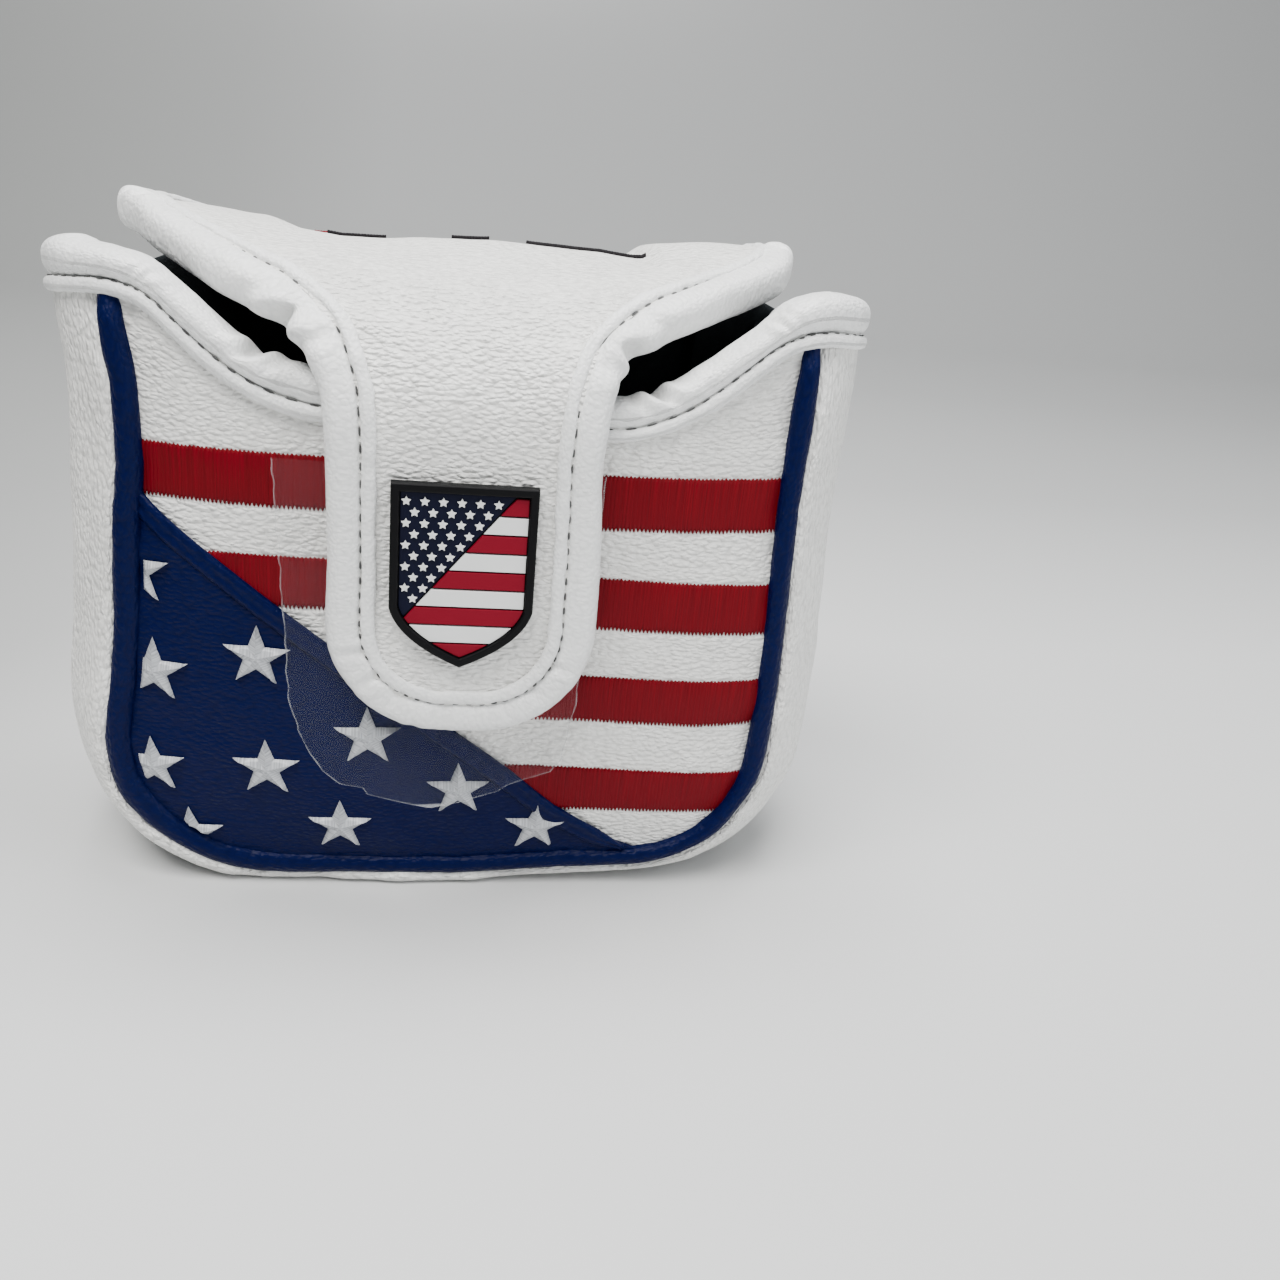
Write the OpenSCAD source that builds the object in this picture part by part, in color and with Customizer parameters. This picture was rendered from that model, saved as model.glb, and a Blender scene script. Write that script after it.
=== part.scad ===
// Head cover for a mallet putter: a padded pouch, a crown that folds over the mouth
// from the back, and a tongue that hangs down the front and closes on magnets.
// Millimetres. +Z is up, the front faces -Y, X runs across, the floor is z = 0.

/* [Pouch] */
// Half the width between the two side seams
seam_w = 53.8; // [40:0.1:70]
// Half the depth between the front and back seams
seam_y = 24; // [15:0.5:35]
// Height of the mouth's top edge at the front corners
mouth_h = 109.6; // [80:0.1:130]
// How far the front edge of the mouth dips in the middle
dip = 15.6; // [0:0.1:25]
// Radius of the panels' lower corners
corner_r = 23; // [10:0.5:35]
// How far the side band puffs out past the seams
puff = 12.8; // [0:0.1:20]
// How far the front panel bellies out
belly_front = 4.0; // [0:0.1:8]
// How far the back panel bellies out
belly_back = 4.5; // [0:0.1:8]

/* [Flap] */
// Height of the fold at the back, where the crown leaves the back panel
hinge_z = 97; // [85:0.5:105]
// Half-width of the crown at the back fold
crown_base_w = 48; // [35:0.5:55]
// Half-width of the crown at the tips of its wings
wing_w = 56; // [40:0.5:65]
// Half-width of the tongue
tongue_w = 21.4; // [15:0.1:30]
// Radius of the tongue's lower corners
tongue_r = 18.5; // [5:0.5:25]
// Height of the tongue's lower end
tongue_z = 37.4; // [20:0.1:60]
// Width of the rolled binding round the flap
bind_w = 5.7; // [3:0.1:8]

/* [Sheet thickness] */
// Thickness of the leathercloth
skin_t = 1.2; // [0.6:0.1:2]
// Thickness of the pouch's foam
foam_t = 2.6; // [1:0.1:5]
// Thickness of the pouch's plush lining
lining_t = 2.0; // [0.5:0.1:4]
// Thickness of the flap's foam
flap_foam_t = 2.2; // [1:0.1:4]
// Thickness of the flap's plush lining
flap_lining_t = 1.6; // [0.5:0.1:3]

/* [Front design] */
// Top of the highest embroidered stripe
stripe_top = 80.3; // [60:0.1:90]
// Height of one stripe, and of the gap under it
stripe_h = 9.31; // [5:0.01:12]
// Radius of an embroidered star
star_r = 5.8; // [3:0.1:8]

/* [Badge] */
// Width of the badge
badge_w = 22.3; // [15:0.1:30]
// Top of the badge
badge_top = 80.3; // [60:0.1:90]
// Height where its sides start to curve in
badge_side = 60.0; // [50:0.1:70]
// Height of its point
badge_tip = 50.2; // [40:0.1:60]
// Width of its raised rim
rim_w = 1.35; // [1:0.05:3]

/* [Show] */
// Which piece to show, or all of them

/* [Hidden] */
seam_z = 4.3;                 // height of the bottom seam
gap = 0.1;                    // air between two layers
round_z = seam_z + corner_r;  // where the straight sides start
q = 2 / 2.3;                  // exponent of the side band's rounded section
roll = 6.2;                   // height of the rolled mouth binding, with its gap
white = [0.90, 0.91, 0.90];
navy = [0.07, 0.13, 0.36];
red = [0.62, 0.06, 0.12];
silver = [0.80, 0.81, 0.82];
black = [0.03, 0.03, 0.04];
foam_grey = [0.35, 0.35, 0.37];

// ---- Small helpers -------------------------------------------------------
function clamp(v, a, b) = min(b, max(a, v));
function ease(t) = let (c = clamp(t, 0, 1)) c * c * (3 - 2 * c);
function spow(v, p) = sign(v) * pow(abs(v), p);
function unit(v) = v / norm(v);
function total(v) = v * [for (i = v) 1];
function quad(a, b, c, d) = [[a, b, c], [a, c, d]];
function back(v) = [for (i = [len(v) - 1:-1:0]) v[i]];
// Six times the signed volume, to turn faces the right way round
function vol6(p, f) = total([for (t = f) p[t[0]] * cross(p[t[1]], p[t[2]])]);

module solid(p, f) {
  polyhedron(points = p, faces = vol6(p, f) > 0 ? [for (t = f) back(t)] : f, convexity = 6);
}

// A sheet between two matching grids of points: rows of columns
module sheet(a, b) {
  n = len(a);
  m = len(a[0]);
  k = n * m;
  p = concat([for (r = a) each r], [for (r = b) each r]);
  f = concat(
    [for (i = [0:n - 2], j = [0:m - 2]) each
      quad(i * m + j, i * m + m + j, i * m + m + j + 1, i * m + j + 1)],
    [for (i = [0:n - 2], j = [0:m - 2]) each
      quad(k + i * m + j, k + i * m + j + 1, k + i * m + m + j + 1, k + i * m + m + j)],
    [for (i = [0:n - 2]) each quad(i * m + m, i * m, k + i * m, k + i * m + m)],
    [for (i = [0:n - 2]) let (e = i * m + m - 1) each quad(e, e + m, k + e + m, k + e)],
    [for (j = [0:m - 2]) each quad(j, j + 1, k + j + 1, k + j)],
    [for (j = [0:m - 2]) let (e = (n - 1) * m + j) each quad(e + 1, e, k + e, k + e + 1)]);
  solid(p, f);
}

// A roll through a list of rings of points, capped at both ends
module rod(rings) {
  n = len(rings);
  m = len(rings[0]);
  p = [for (r = rings) each r];
  f = concat(
    [for (i = [0:n - 2], j = [0:m - 1]) let (h = (j + 1) % m) each
      quad(i * m + j, i * m + m + j, i * m + m + h, i * m + h)],
    [for (j = [1:m - 2]) [0, j, j + 1]],
    [for (j = [1:m - 2]) let (e = (n - 1) * m) [e, e + j + 1, e + j]]);
  solid(p, f);
}

// ---- Shape of the pouch --------------------------------------------------
// Half-width between the seams above the lower corners
function mid_w(z) = seam_w + 0.9 * sin(90 * (60 - clamp(z, 25, 95)) / 35);
// Half-width of the panel outline at height z, drawn in by e all round
function seam_x(z, e = 0) =
  let (r = corner_r - e, t = clamp((r - (z - seam_z - e)) / r, 0, 1))
  mid_w(z) - e - r + r * sqrt(1 - t * t);
// Top edge of the mouth along the front, and round the sides
function mouth_z(x) = mouth_h - dip * ease((50 - abs(x)) / 27);
function mouth_side(y) = mouth_h - 0.17 * (y + seam_y);
function mouth_slope(x) = (mouth_z(x + 0.5) - mouth_z(x - 0.5));
function puffed(x, z, b) = b * (1 - pow(clamp(abs(x) / seam_x(z), 0, 1), 3.6))
  * (1 - pow(1 - clamp((z - seam_z) / 38, 0, 1), 2.6));
// A point on the front face, off outside the leathercloth
function front_pt(x, z, off) = [x, -seam_y - puffed(x, z, belly_front) - off, z];
function back_pt(x, z, off) = [x, seam_y + puffed(x, z, belly_back) + off, z];
front_top = function (x) mouth_z(x) - roll * sqrt(1 + pow(mouth_slope(x), 2)) - 0.15;
back_top = function (x) hinge_z - 0.5;

// Grid over a panel, inset e from the seam: the corner rows, then up to the top edge
function wall(e, top, pt, off, nx = 12, nz = 6) = let (r = corner_r - e, z0 = seam_z + e)
  [for (j = [0:5 + nz]) [for (i = [0:nx]) let (u = -1 + 2 * i / nx,
    zc = z0 + r * (1 - cos(min(j, 5) * 18)), t = max(0, j - 5) / nz,
    x = u * seam_x(zc + t * (top(seam_w) - zc), e))
    pt(x, zc + t * (top(x) - zc), off)]];

module panel(front, off, t, e = 2.3) {
  pt = front ? function (x, z, o) front_pt(x, z, o) : function (x, z, o) back_pt(x, z, o);
  top = front ? front_top : back_top;
  sheet(wall(e, top, pt, -off), wall(e, top, pt, -off - t));
}

// Stations along the side band: [0 side, 1 corner, 2 floor; place along it; which side]
band = concat(
  [for (i = [0:5]) [0, 1 - i / 5, -1]], [for (i = [1:6]) [1, 90 - i * 15, -1]],
  [for (i = [1:5]) [2, -1 + 2 * i / 5, 1]],
  [for (i = [1:6]) [1, i * 15, 1]], [for (i = [1:5]) [0, i / 5, 1]]);
band_turn = [0, 20, 50, 90, 130, 160, 180];
// A point of the band: half depth hy, puff p, never below height low
function band_pt(s, th, hy, p, low) =
  let (y = hy * spow(cos(th), q), o = p * spow(sin(th), q), w = mid_w(25),
    z = s[0] == 0 ? round_z + s[1] * (mouth_side(y) - roll - 0.35 - round_z)
      : s[0] == 1 ? round_z - (corner_r + o) * cos(s[1]) : seam_z - o,
    x = s[0] == 0 ? s[2] * (mid_w(z) + o)
      : s[0] == 1 ? s[2] * (w - corner_r + (corner_r + o) * sin(s[1]))
      : s[1] * (w - corner_r))
  [x, y, max(z, low)];
module band_layer(off, t) {
  hy = seam_y - 1.8;
  sheet([for (s = band) [for (a = band_turn) band_pt(s, a, hy - off, puff - off, off)]],
    [for (s = band) [for (a = band_turn)
      band_pt(s, a, hy - off - t, puff - off - t, off + t)]]);
}

// Seam line round a panel, from the top left down and up to the top right: [point, outward]
function seam_line(top) = let (w = mid_w(25)) concat(
  [for (i = [0:5]) let (z = round_z + (1 - i / 5) * (top - round_z)) [[-mid_w(z), z], [-1, 0]]],
  [for (i = [1:6]) let (a = 90 - i * 15)
    [[-w + corner_r * (1 - sin(a)), round_z - corner_r * cos(a)], [-sin(a), -cos(a)]]],
  [for (i = [1:3]) [[(w - corner_r) * (-1 + i / 2), seam_z], [0, -1]]],
  [for (i = [0:6]) let (a = i * 15)
    [[w - corner_r * (1 - sin(a)), round_z - corner_r * cos(a)], [sin(a), -cos(a)]]],
  [for (i = [1:5]) let (z = round_z + i / 5 * (top - round_z)) [[mid_w(z), z], [1, 0]]]);
module piping(y, top, r = 2) {
  rod([for (s = seam_line(top)) [for (a = [0:45:315])
    [s[0][0] + r * cos(a) * s[1][0], y + r * sin(a), s[0][1] + r * cos(a) * s[1][1]]]]);
}

// Outer top edge of the mouth, from the back left round the front to the back right
function side_edge(s, th) = let (y = (seam_y - 1.8) * spow(cos(th), q),
  z = mouth_side(y)) [s * (mid_w(95) + puff * spow(sin(th), q)), y, z];
side_turn = [18, 30, 45, 62, 80, 98, 116, 134, 150, 162];
mouth_edge = concat([for (a = side_turn) side_edge(-1, a)],
  [for (i = [-8.5:1:8.5]) let (x = i * 6) front_pt(x, mouth_z(x), 0)],
  [for (a = back(side_turn)) side_edge(1, a)]);
// Rings round that edge: out and up are the section's centre, a and b its half-sizes,
// and thin is how much lower its top is where the mouth dips
function edge_rings(out, up, a, b, n, thin = 0) = let (k = len(mouth_edge) - 1)
  [for (i = [0:k]) let (t = unit(mouth_edge[min(k, i + 1)] - mouth_edge[max(0, i - 1)]),
    h = unit([t[1], -t[0], 0]), u = unit(cross(h, t)) * (cross(h, t)[2] < 0 ? -1 : 1),
    d = mouth_edge[i][1] < -20 ? thin / 2 * ease((51 - abs(mouth_edge[i][0])) / 8) : 0)
    [for (j = [0:n - 1]) let (g = (j + 0.5) * 360 / n)
      mouth_edge[i] + h * (out + a * spow(cos(g), 0.8))
        + u * (up - d + (b - d) * spow(sin(g), 0.8))]];

// ---- Front design --------------------------------------------------------
// Right-hand edge of the star field at height z
function field_x(z) = -49.5 + 1.365 * (70.2 - z) - 1.9 * sin(180 * clamp((z - 11) / 59.2, 0, 1));
function field_rows(e) = concat(
  [for (j = [0:5]) seam_z + e + (corner_r - e) * (1 - cos(j * 18))],
  [for (j = [1:7]) round_z + j / 7 * (69.6 - round_z)]);
module field_sheet(e, lo, hi) {
  g = function (off) [for (z = field_rows(e)) [for (i = [0:8])
    let (x0 = -seam_x(z, e), x1 = min(field_x(z), seam_x(z, e))) front_pt(x0 + i / 8 * (x1 - x0), z, off)]];
  sheet(g(hi), g(lo));
}
module stripe(z1) {
  z0 = z1 - stripe_h;
  zs = [z0, (z0 + z1) / 2, z1];
  g = function (off) [for (z = zs) [for (i = [0:9])
    let (x0 = max(-seam_x(z, 2.7), field_x(z) + 0.5), x1 = seam_x(z, 2.7))
    front_pt(x0 + i / 9 * (x1 - x0), z, off)]];
  sheet(g(0.6), g(0.17));
}
// A star laid over the front face; tips past the seam are cut off at it
function star_edge(c, r, turn) = [for (i = [0:9]) let (a = 90 + turn + i * 36,
  k = r * (i % 2 == 0 ? 1 : 0.42), z = c[1] + k * sin(a), x = c[0] + k * cos(a))
  [clamp(x, -seam_x(z, 3), seam_x(z, 3)), z]];
module raised(e, c) {
  n = len(e);
  p = concat([for (v = e) front_pt(v[0], v[1], 1.5)], [for (v = e) front_pt(v[0], v[1], 1.1)],
    [front_pt(c[0], c[1], 1.56), front_pt(c[0], c[1], 1.1)]);
  solid(p, concat([for (i = [0:n - 1]) let (j = (i + 1) % n) [2 * n, i, j]],
    [for (i = [0:n - 1]) let (j = (i + 1) % n) [2 * n + 1, n + j, n + i]],
    [for (i = [0:n - 1]) let (j = (i + 1) % n) each quad(j, i, n + i, n + j)]));
}
stars = [[-49.1, 59.4], [-49.3, 42.4], [-50.3, 24.3], [-33.0, 46.4], [-31.9, 25.3],
  [-19.7, 13.4], [-15.0, 32.3], [0.6, 21.7], [14.7, 13.4]];
// The part of a tenth star that shows at the lower left corner
cut_star = [[-45.6, 16.1], [-46.3, 14.3], [-45.0, 12.7], [-42.6, 11.9], [-39.9, 12.6], [-43.6, 13.5]];

// ---- Shape of the flap ---------------------------------------------------
// Side view of the flap's outer face: up the back, over the top, down the front
r1 = 13;
r2 = 85;
r4 = 24.7;
fold_y = seam_y + belly_back;
s1 = r1 * 80 * PI / 180;
s2 = s1 + r2 * 20 * PI / 180;
s3 = s2 + 3.9;
s4 = s3 + r4 * 80 * PI / 180;
c1 = [fold_y - r1, hinge_z];
c2 = c1 + (r1 - r2) * [cos(80), sin(80)];
c4 = c2 + (r2 - r4) * [cos(100), sin(100)] + 3.9 * [-sin(100), cos(100)];
s_tip = s4 + c4[1] - tongue_z;
// Heading at distance s along the profile, 0 = straight up, 180 = straight down
function turn(s) = s < s1 ? s / r1 * 180 / PI : s < s2 ? 80 + (s - s1) / r2 * 180 / PI
  : s < s3 ? 100 : s < s4 ? 100 + (s - s3) / r4 * 180 / PI : 180;
function prof(s) = let (h = turn(s), n = [cos(h), sin(h)])
  s < s1 ? c1 + r1 * n : s < s2 ? c2 + r2 * n
  : s < s3 ? c2 + r2 * n + (s - s2) * [-sin(100), cos(100)]
  : s < s4 ? c4 + r4 * n : c4 + [-r4, s4 - s];
// A point of the flap: s along, x across, off outside its outer face
function flap_pt(s, x, off) = let (p = prof(s), h = turn(s),
  tuck = (1 - ease(s / 24)) * (belly_back - puffed(x, hinge_z, belly_back)),
  lift = 2.6 * exp(-pow((s - 38) / 16, 2)) * pow(abs(x) / 50, 2.2))
  [x, p[0] + cos(h) * off - tuck, p[1] + sin(h) * off + lift];

// Half-width of the flap: knots [s, half-width], joined by smooth curves
knots = [[-8, crown_base_w], [0, crown_base_w], [14, crown_base_w + 3], [28, wing_w - 1.4],
  [36, wing_w - 0.4], [40, wing_w - 2.2], [45, 51.1], [51, 45.4], [58, 38.3], [65, 29.3],
  [72, 24], [80, 21.7], [90, tongue_w - 0.1], [104, tongue_w], [300, tongue_w]];
function knot_slope(i) = i >= len(knots) - 1 ? 0
  : let (a = knots[i - 1], b = knots[i], c = knots[i + 1],
  d0 = (b[1] - a[1]) / (b[0] - a[0]), d1 = (c[1] - b[1]) / (c[0] - b[0]))
  d0 * d1 <= 0 ? 0 : 2 * d0 * d1 / (d0 + d1);
function flap_w(s, i = 1) = s > knots[i + 1][0] ? flap_w(s, i + 1)
  : let (h = knots[i + 1][0] - knots[i][0], t = (s - knots[i][0]) / h)
  (1 + 2 * t) * (1 - t) * (1 - t) * knots[i][1] + t * (1 - t) * (1 - t) * h * knot_slope(i)
  + t * t * (3 - 2 * t) * knots[i + 1][1] + t * t * (t - 1) * h * knot_slope(i + 1);
function flap_slope(s) = flap_w(s + 0.5) - flap_w(s - 0.5);
// Half-width of the area that stays e clear of the edge
function inset_w(s, e) = min([for (a = [-90:10:90]) flap_w(s + e * sin(a)) - e * cos(a)]);

s_bend = s3 + r4 * 66 * PI / 180;   // where the tongue turns on the crown
edge = bind_w + 0.1;
crown_s = [0.5, 5, 9, 13, 18, 24, 30, 36, 40, 44.5, 49, 54, 59, 64, 69, 74.5, s_bend - 0.5];
module crown_layer(off, t) {
  g = function (o) [for (s = crown_s) [for (i = [0:8])
    flap_pt(s, (-1 + i / 4) * inset_w(s, bind_w + 0.3), o)]];
  sheet(g(-off), g(-off - t));
}
// Half-width of the tongue drawn in by e, and the rows that follow its round end
function tongue_half(s, e) = let (r = tongue_r - e, t = clamp((s - (s_tip - tongue_r)) / r, 0, 1))
  flap_w(s) - e - r + r * sqrt(1 - t * t);
function tongue_rows(e) = concat([s_bend + 0.5, s_bend + 3.2, s4, s4 + 9, s4 + 18],
  [for (a = [0, 20, 38, 55, 70, 82, 90]) s_tip - tongue_r + (tongue_r - e) * sin(a)]);
module tongue_layer(off, t) {
  g = function (o) [for (s = tongue_rows(edge)) [for (i = [0:6])
    flap_pt(s, (-1 + i / 3) * tongue_half(s, edge), o)]];
  sheet(g(-off), g(-off - t));
}

// Edge of the flap as [s, x, inward s, inward x]
function crown_edge(sgn) = [for (s = crown_s) let (d = unit([flap_slope(s), -1]))
  [s, sgn * flap_w(s), d[0], sgn * d[1]]];
tongue_side = [for (s = [s_bend + 0.5, s_bend + 3, s4, s4 + 9, s4 + 18])
  let (d = unit([flap_slope(s), -1])) [s, -flap_w(s), d[0], -d[1]]];
tongue_arc = [for (a = [0:15:90]) [s_tip - tongue_r + tongue_r * sin(a),
  -tongue_w + tongue_r * (1 - cos(a)), -sin(a), cos(a)]];
tongue_left = concat(tongue_side, tongue_arc);
tongue_edge = concat(tongue_left, [for (v = back(tongue_left)) [v[0], -v[1], v[2], -v[3]]]);
// Rings along an edge: in is the distance from it, off the height over the outer face
function roll_rings(path, in, off, a, b, n) = [for (v = path) [for (j = [0:n - 1])
  let (g = (j + 0.5) * 360 / n, d = in + a * spow(cos(g), 0.8))
  flap_pt(v[0] + d * v[2], v[1] + d * v[3], off + b * spow(sin(g), 0.8))]];
flap_t = skin_t + flap_foam_t + flap_lining_t + 2 * gap;
module binding(path) {
  rod(roll_rings(path, bind_w / 2, (0.7 - flap_t - 0.6) / 2, bind_w / 2, (flap_t + 1.3) / 2, 10));
}
module welt(path) {
  rod(roll_rings(path, bind_w + 1.6, 0.76, 1.0, 0.55, 6));
}
// A raised bar on the crown between two distances along it and two places across
module crown_bar(sa, sb, xa, xb) {
  g = function (o) [for (s = [sa, (sa + sb) / 2, sb]) [for (i = [0:4])
    flap_pt(s, xa + i / 4 * (xb - xa), o)]];
  sheet(g(0.75), g(0.15));
}

// ---- Badge ---------------------------------------------------------------
face_y = c4[0] - r4;   // the tongue's flat outer face
function arc_side(s) = [for (t = [0:0.125:1]) let (a = badge_w / 2, b = badge_w / 2 - 1.5)
  [s * ((1 - t) * (1 - t) * a + 2 * t * (1 - t) * b),
    (1 - t) * (1 - t) * badge_side + 2 * t * (1 - t) * (badge_tip + 4.2) + t * t * badge_tip]];
module shield() {
  polygon(concat([[-badge_w / 2, badge_top]], arc_side(-1), back([for (i = [0:7]) arc_side(1)[i]]),
    [[badge_w / 2, badge_top]]));
}
module inner_shield(d = 0) {
  offset(delta = -rim_w - d) shield();
}
// Stand a flat shape on the tongue: lo and hi are heights over its outer face
module stand(lo, hi) {
  translate([-0.25, face_y - lo, 0]) rotate([90, 0, 0]) linear_extrude(hi - lo) children();
}
top_in = badge_top - rim_w;
badge_step = 3.06;   // from one bar of the badge to the next
// Left of a slanted line, from the inner top right down to the inner lower left
function slant_x(z) = 7.7 + 0.8137 * (z - top_in);
module badge_corner(grow) {
  polygon([[-30, top_in + 9], [slant_x(top_in + 9) - grow, top_in + 9],
    [slant_x(badge_tip) - grow, badge_tip]]);
}
module badge_bars(first) {
  difference() {
    intersection() {
      inner_shield(0.15);
      union() for (i = [first:2:8])
        translate([-15, top_in - 0.1 - (i + 1) * badge_step]) square([30, badge_step - 0.3]);
    }
    badge_corner(-0.35);
  }
}
rows = [6, 5, 5, 4, 4, 3, 3, 2, 2, 1];

// ---- Pieces: pouch -------------------------------------------------------
module front_panel() { color(white) panel(true, 0, skin_t); }
module back_panel() { color(white) panel(false, 0, skin_t); }
module gusset() { color(white) band_layer(0, skin_t); }
module front_foam() {
  color(foam_grey) difference() {
    panel(true, skin_t + gap, foam_t);
    magnets(-seam_y - 8, 5.2, 16);
  }
}
module back_foam() { color(foam_grey) panel(false, skin_t + gap, foam_t); }
module gusset_foam() { color(foam_grey) band_layer(skin_t + gap, foam_t); }
module front_lining() { color(black) panel(true, skin_t + foam_t + 2 * gap, lining_t); }
module back_lining() { color(black) panel(false, skin_t + foam_t + 2 * gap, lining_t); }
module gusset_lining() { color(black) band_layer(skin_t + foam_t + 2 * gap, lining_t); }
module front_piping() { color(navy) piping(-seam_y - 0.4, mouth_h - 8.9); }
module back_piping() { color(navy) piping(seam_y + 0.4, hinge_z - 1.5); }
module mouth_binding() { color(white) rod(edge_rings(-3, -3.05, 3.75, 3.05, 10, 1.9)); }
module mouth_welt() { color(white) rod(edge_rings(0.85, -7.5, 0.7, 1.15, 6)); }
module star_field() { color(navy) field_sheet(2.7, 0.1, 0.9); }
module field_hem() {
  color(navy) rod([for (z = [69.5:-4.45:12]) [for (j = [0:5]) let (g = j * 60)
    front_pt(field_x(z) - 1.5 + 0.65 * cos(g), z + 0.9 * cos(g), 1.32 + 0.33 * sin(g))]]);
}
module field_stars() {
  color(silver) {
    for (c = stars) raised(star_edge(c, star_r, 0), c);
    raised(cut_star, [-43.9, 13.0]);
  }
}
module front_stripes() {
  color(red) for (i = [0:3]) stripe(stripe_top - 2 * i * stripe_h);
}
module back_stripes() {
  color(red) for (i = [0:3]) {
    z1 = stripe_top - 2 * i * stripe_h;
    zs = [z1 - stripe_h, z1 - stripe_h / 2, z1];
    g = function (off) [for (z = zs) [for (k = [0:10]) let (w = seam_x(z, 2.7))
      back_pt(-w + k / 5 * w, z, off)]];
    sheet(g(0.6), g(0.17));
  }
}
module magnets(y, r, t) {
  for (x = [-8, 8]) translate([x, y, 51]) rotate([-90, 0, 0]) cylinder(r = r, h = t);
}
module panel_magnets() {
  color(silver) magnets(-seam_y - belly_front + skin_t + 0.5, 5, 1.8);
}
// Clear film over the middle of the front: left and right edges at each height
film = [[18.6, -7, 0], [20.6, -12.5, 4.5], [22.4, -15.2, 7.6], [24, -19.4, 10.5], [27, -23, 16.2],
  [32, -26, 18.2], [40, -28, 19.8], [50, -28.4, 20.6], [60, -28.7, 21], [70, -29.2, 21.3],
  [80, -29.8, 21.6]];
module protective_film() {
  g = function (off) [for (r = film) [for (i = [0:8])
    front_pt(r[1] + i / 8 * (r[2] - r[1]), r[0], off)]];
  color([0.9, 0.93, 0.96, 0.3]) sheet(g(1.95), g(1.72));
}

// ---- Pieces: crown -------------------------------------------------------
module crown_shell() { color(white) crown_layer(0, skin_t); }
module crown_foam() { color(foam_grey) crown_layer(skin_t + gap, flap_foam_t); }
module crown_lining() { color(black) crown_layer(skin_t + flap_foam_t + 2 * gap, flap_lining_t); }
module crown_binding() { color(white) for (s = [-1, 1]) binding(crown_edge(s)); }
module crown_welt() { color(white) for (s = [-1, 1]) welt(crown_edge(s)); }
module crown_embroidery() {
  color(red) {
    for (i = [0:3]) crown_bar(8.5 + i * 5, 11.1 + i * 5, 8.8 - i * 3, 28.6);
    for (i = [0:1]) crown_bar(8.5 + i * 9, 14.5 + i * 9, -28, -11 - i * 5.2);
  }
}

// ---- Pieces: tongue ------------------------------------------------------
module tongue_shell() { color(white) tongue_layer(0, skin_t); }
module tongue_foam() {
  color(foam_grey) difference() {
    tongue_layer(skin_t + gap, flap_foam_t);
    magnets(face_y - 4, 5.2, 12);
  }
}
module tongue_lining() { color(black) tongue_layer(skin_t + flap_foam_t + 2 * gap, flap_lining_t); }
module tongue_binding() { color(white) binding(tongue_edge); }
module tongue_welt() { color(white) welt(tongue_edge); }
module tongue_magnets() { color(silver) magnets(face_y + skin_t + 0.3, 5, 1.8); }
module badge_base() {
  color(black) {
    stand(0.05, 0.95) shield();
    stand(0.95, 2.0) difference() { shield(); inner_shield(); }
  }
}
module badge_field() {
  color(navy) stand(1.0, 1.3) intersection() { inner_shield(0.15); badge_corner(0); }
}
module badge_red() { color(red) stand(1.0, 1.45) badge_bars(0); }
module badge_white() { color(white) stand(1.0, 1.45) badge_bars(1); }
module badge_stars() {
  color(white) stand(1.35, 1.65) for (j = [0:9], i = [0:rows[j] - 1])
    translate([-8.8 + (j % 2) * 1.27 + i * 2.77, top_in - 1.5 - j * 1.76])
      polygon([for (k = [0:9]) (k % 2 == 0 ? 0.84 : 0.48) * [cos(90 + k * 36), sin(90 + k * 36)]]);
}

front_panel();
back_panel();
gusset();
front_foam();
back_foam();
gusset_foam();
front_lining();
back_lining();
gusset_lining();
front_piping();
back_piping();
mouth_binding();
mouth_welt();
star_field();
field_hem();
field_stars();
front_stripes();
back_stripes();
panel_magnets();
protective_film();
crown_shell();
crown_foam();
crown_lining();
crown_binding();
crown_welt();
crown_embroidery();
tongue_shell();
tongue_foam();
tongue_lining();
tongue_binding();
tongue_welt();
tongue_magnets();
badge_base();
badge_field();
badge_red();
badge_white();
badge_stars();
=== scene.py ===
"""Looks for a mallet putter head cover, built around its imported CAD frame.

Shapes are worked out in millimetres with the same rules as the CAD, and turned
into metres when a mesh is made. UVs are in centimetres. The pouch's front is
given by x and z, and the flap (crown and tongue) by x and s, the distance along
its outer line from the hinge at the back, over the top and down the front.
"""
import math

import bpy
import numpy as np
from mathutils import Matrix, Vector


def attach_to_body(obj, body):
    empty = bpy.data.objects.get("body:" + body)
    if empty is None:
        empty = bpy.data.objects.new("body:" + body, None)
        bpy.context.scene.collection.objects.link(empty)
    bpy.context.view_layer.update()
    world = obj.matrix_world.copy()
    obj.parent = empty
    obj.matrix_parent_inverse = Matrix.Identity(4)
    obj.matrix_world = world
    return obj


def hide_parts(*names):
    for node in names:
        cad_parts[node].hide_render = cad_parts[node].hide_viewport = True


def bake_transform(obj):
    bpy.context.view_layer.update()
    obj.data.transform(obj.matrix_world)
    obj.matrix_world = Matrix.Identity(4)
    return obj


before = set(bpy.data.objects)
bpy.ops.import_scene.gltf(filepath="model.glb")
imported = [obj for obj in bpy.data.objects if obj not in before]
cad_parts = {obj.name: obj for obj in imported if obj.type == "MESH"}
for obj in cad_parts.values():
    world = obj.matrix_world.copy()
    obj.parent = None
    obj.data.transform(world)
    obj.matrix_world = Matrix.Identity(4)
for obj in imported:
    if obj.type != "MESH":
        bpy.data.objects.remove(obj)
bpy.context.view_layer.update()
MM = 0.001

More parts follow.
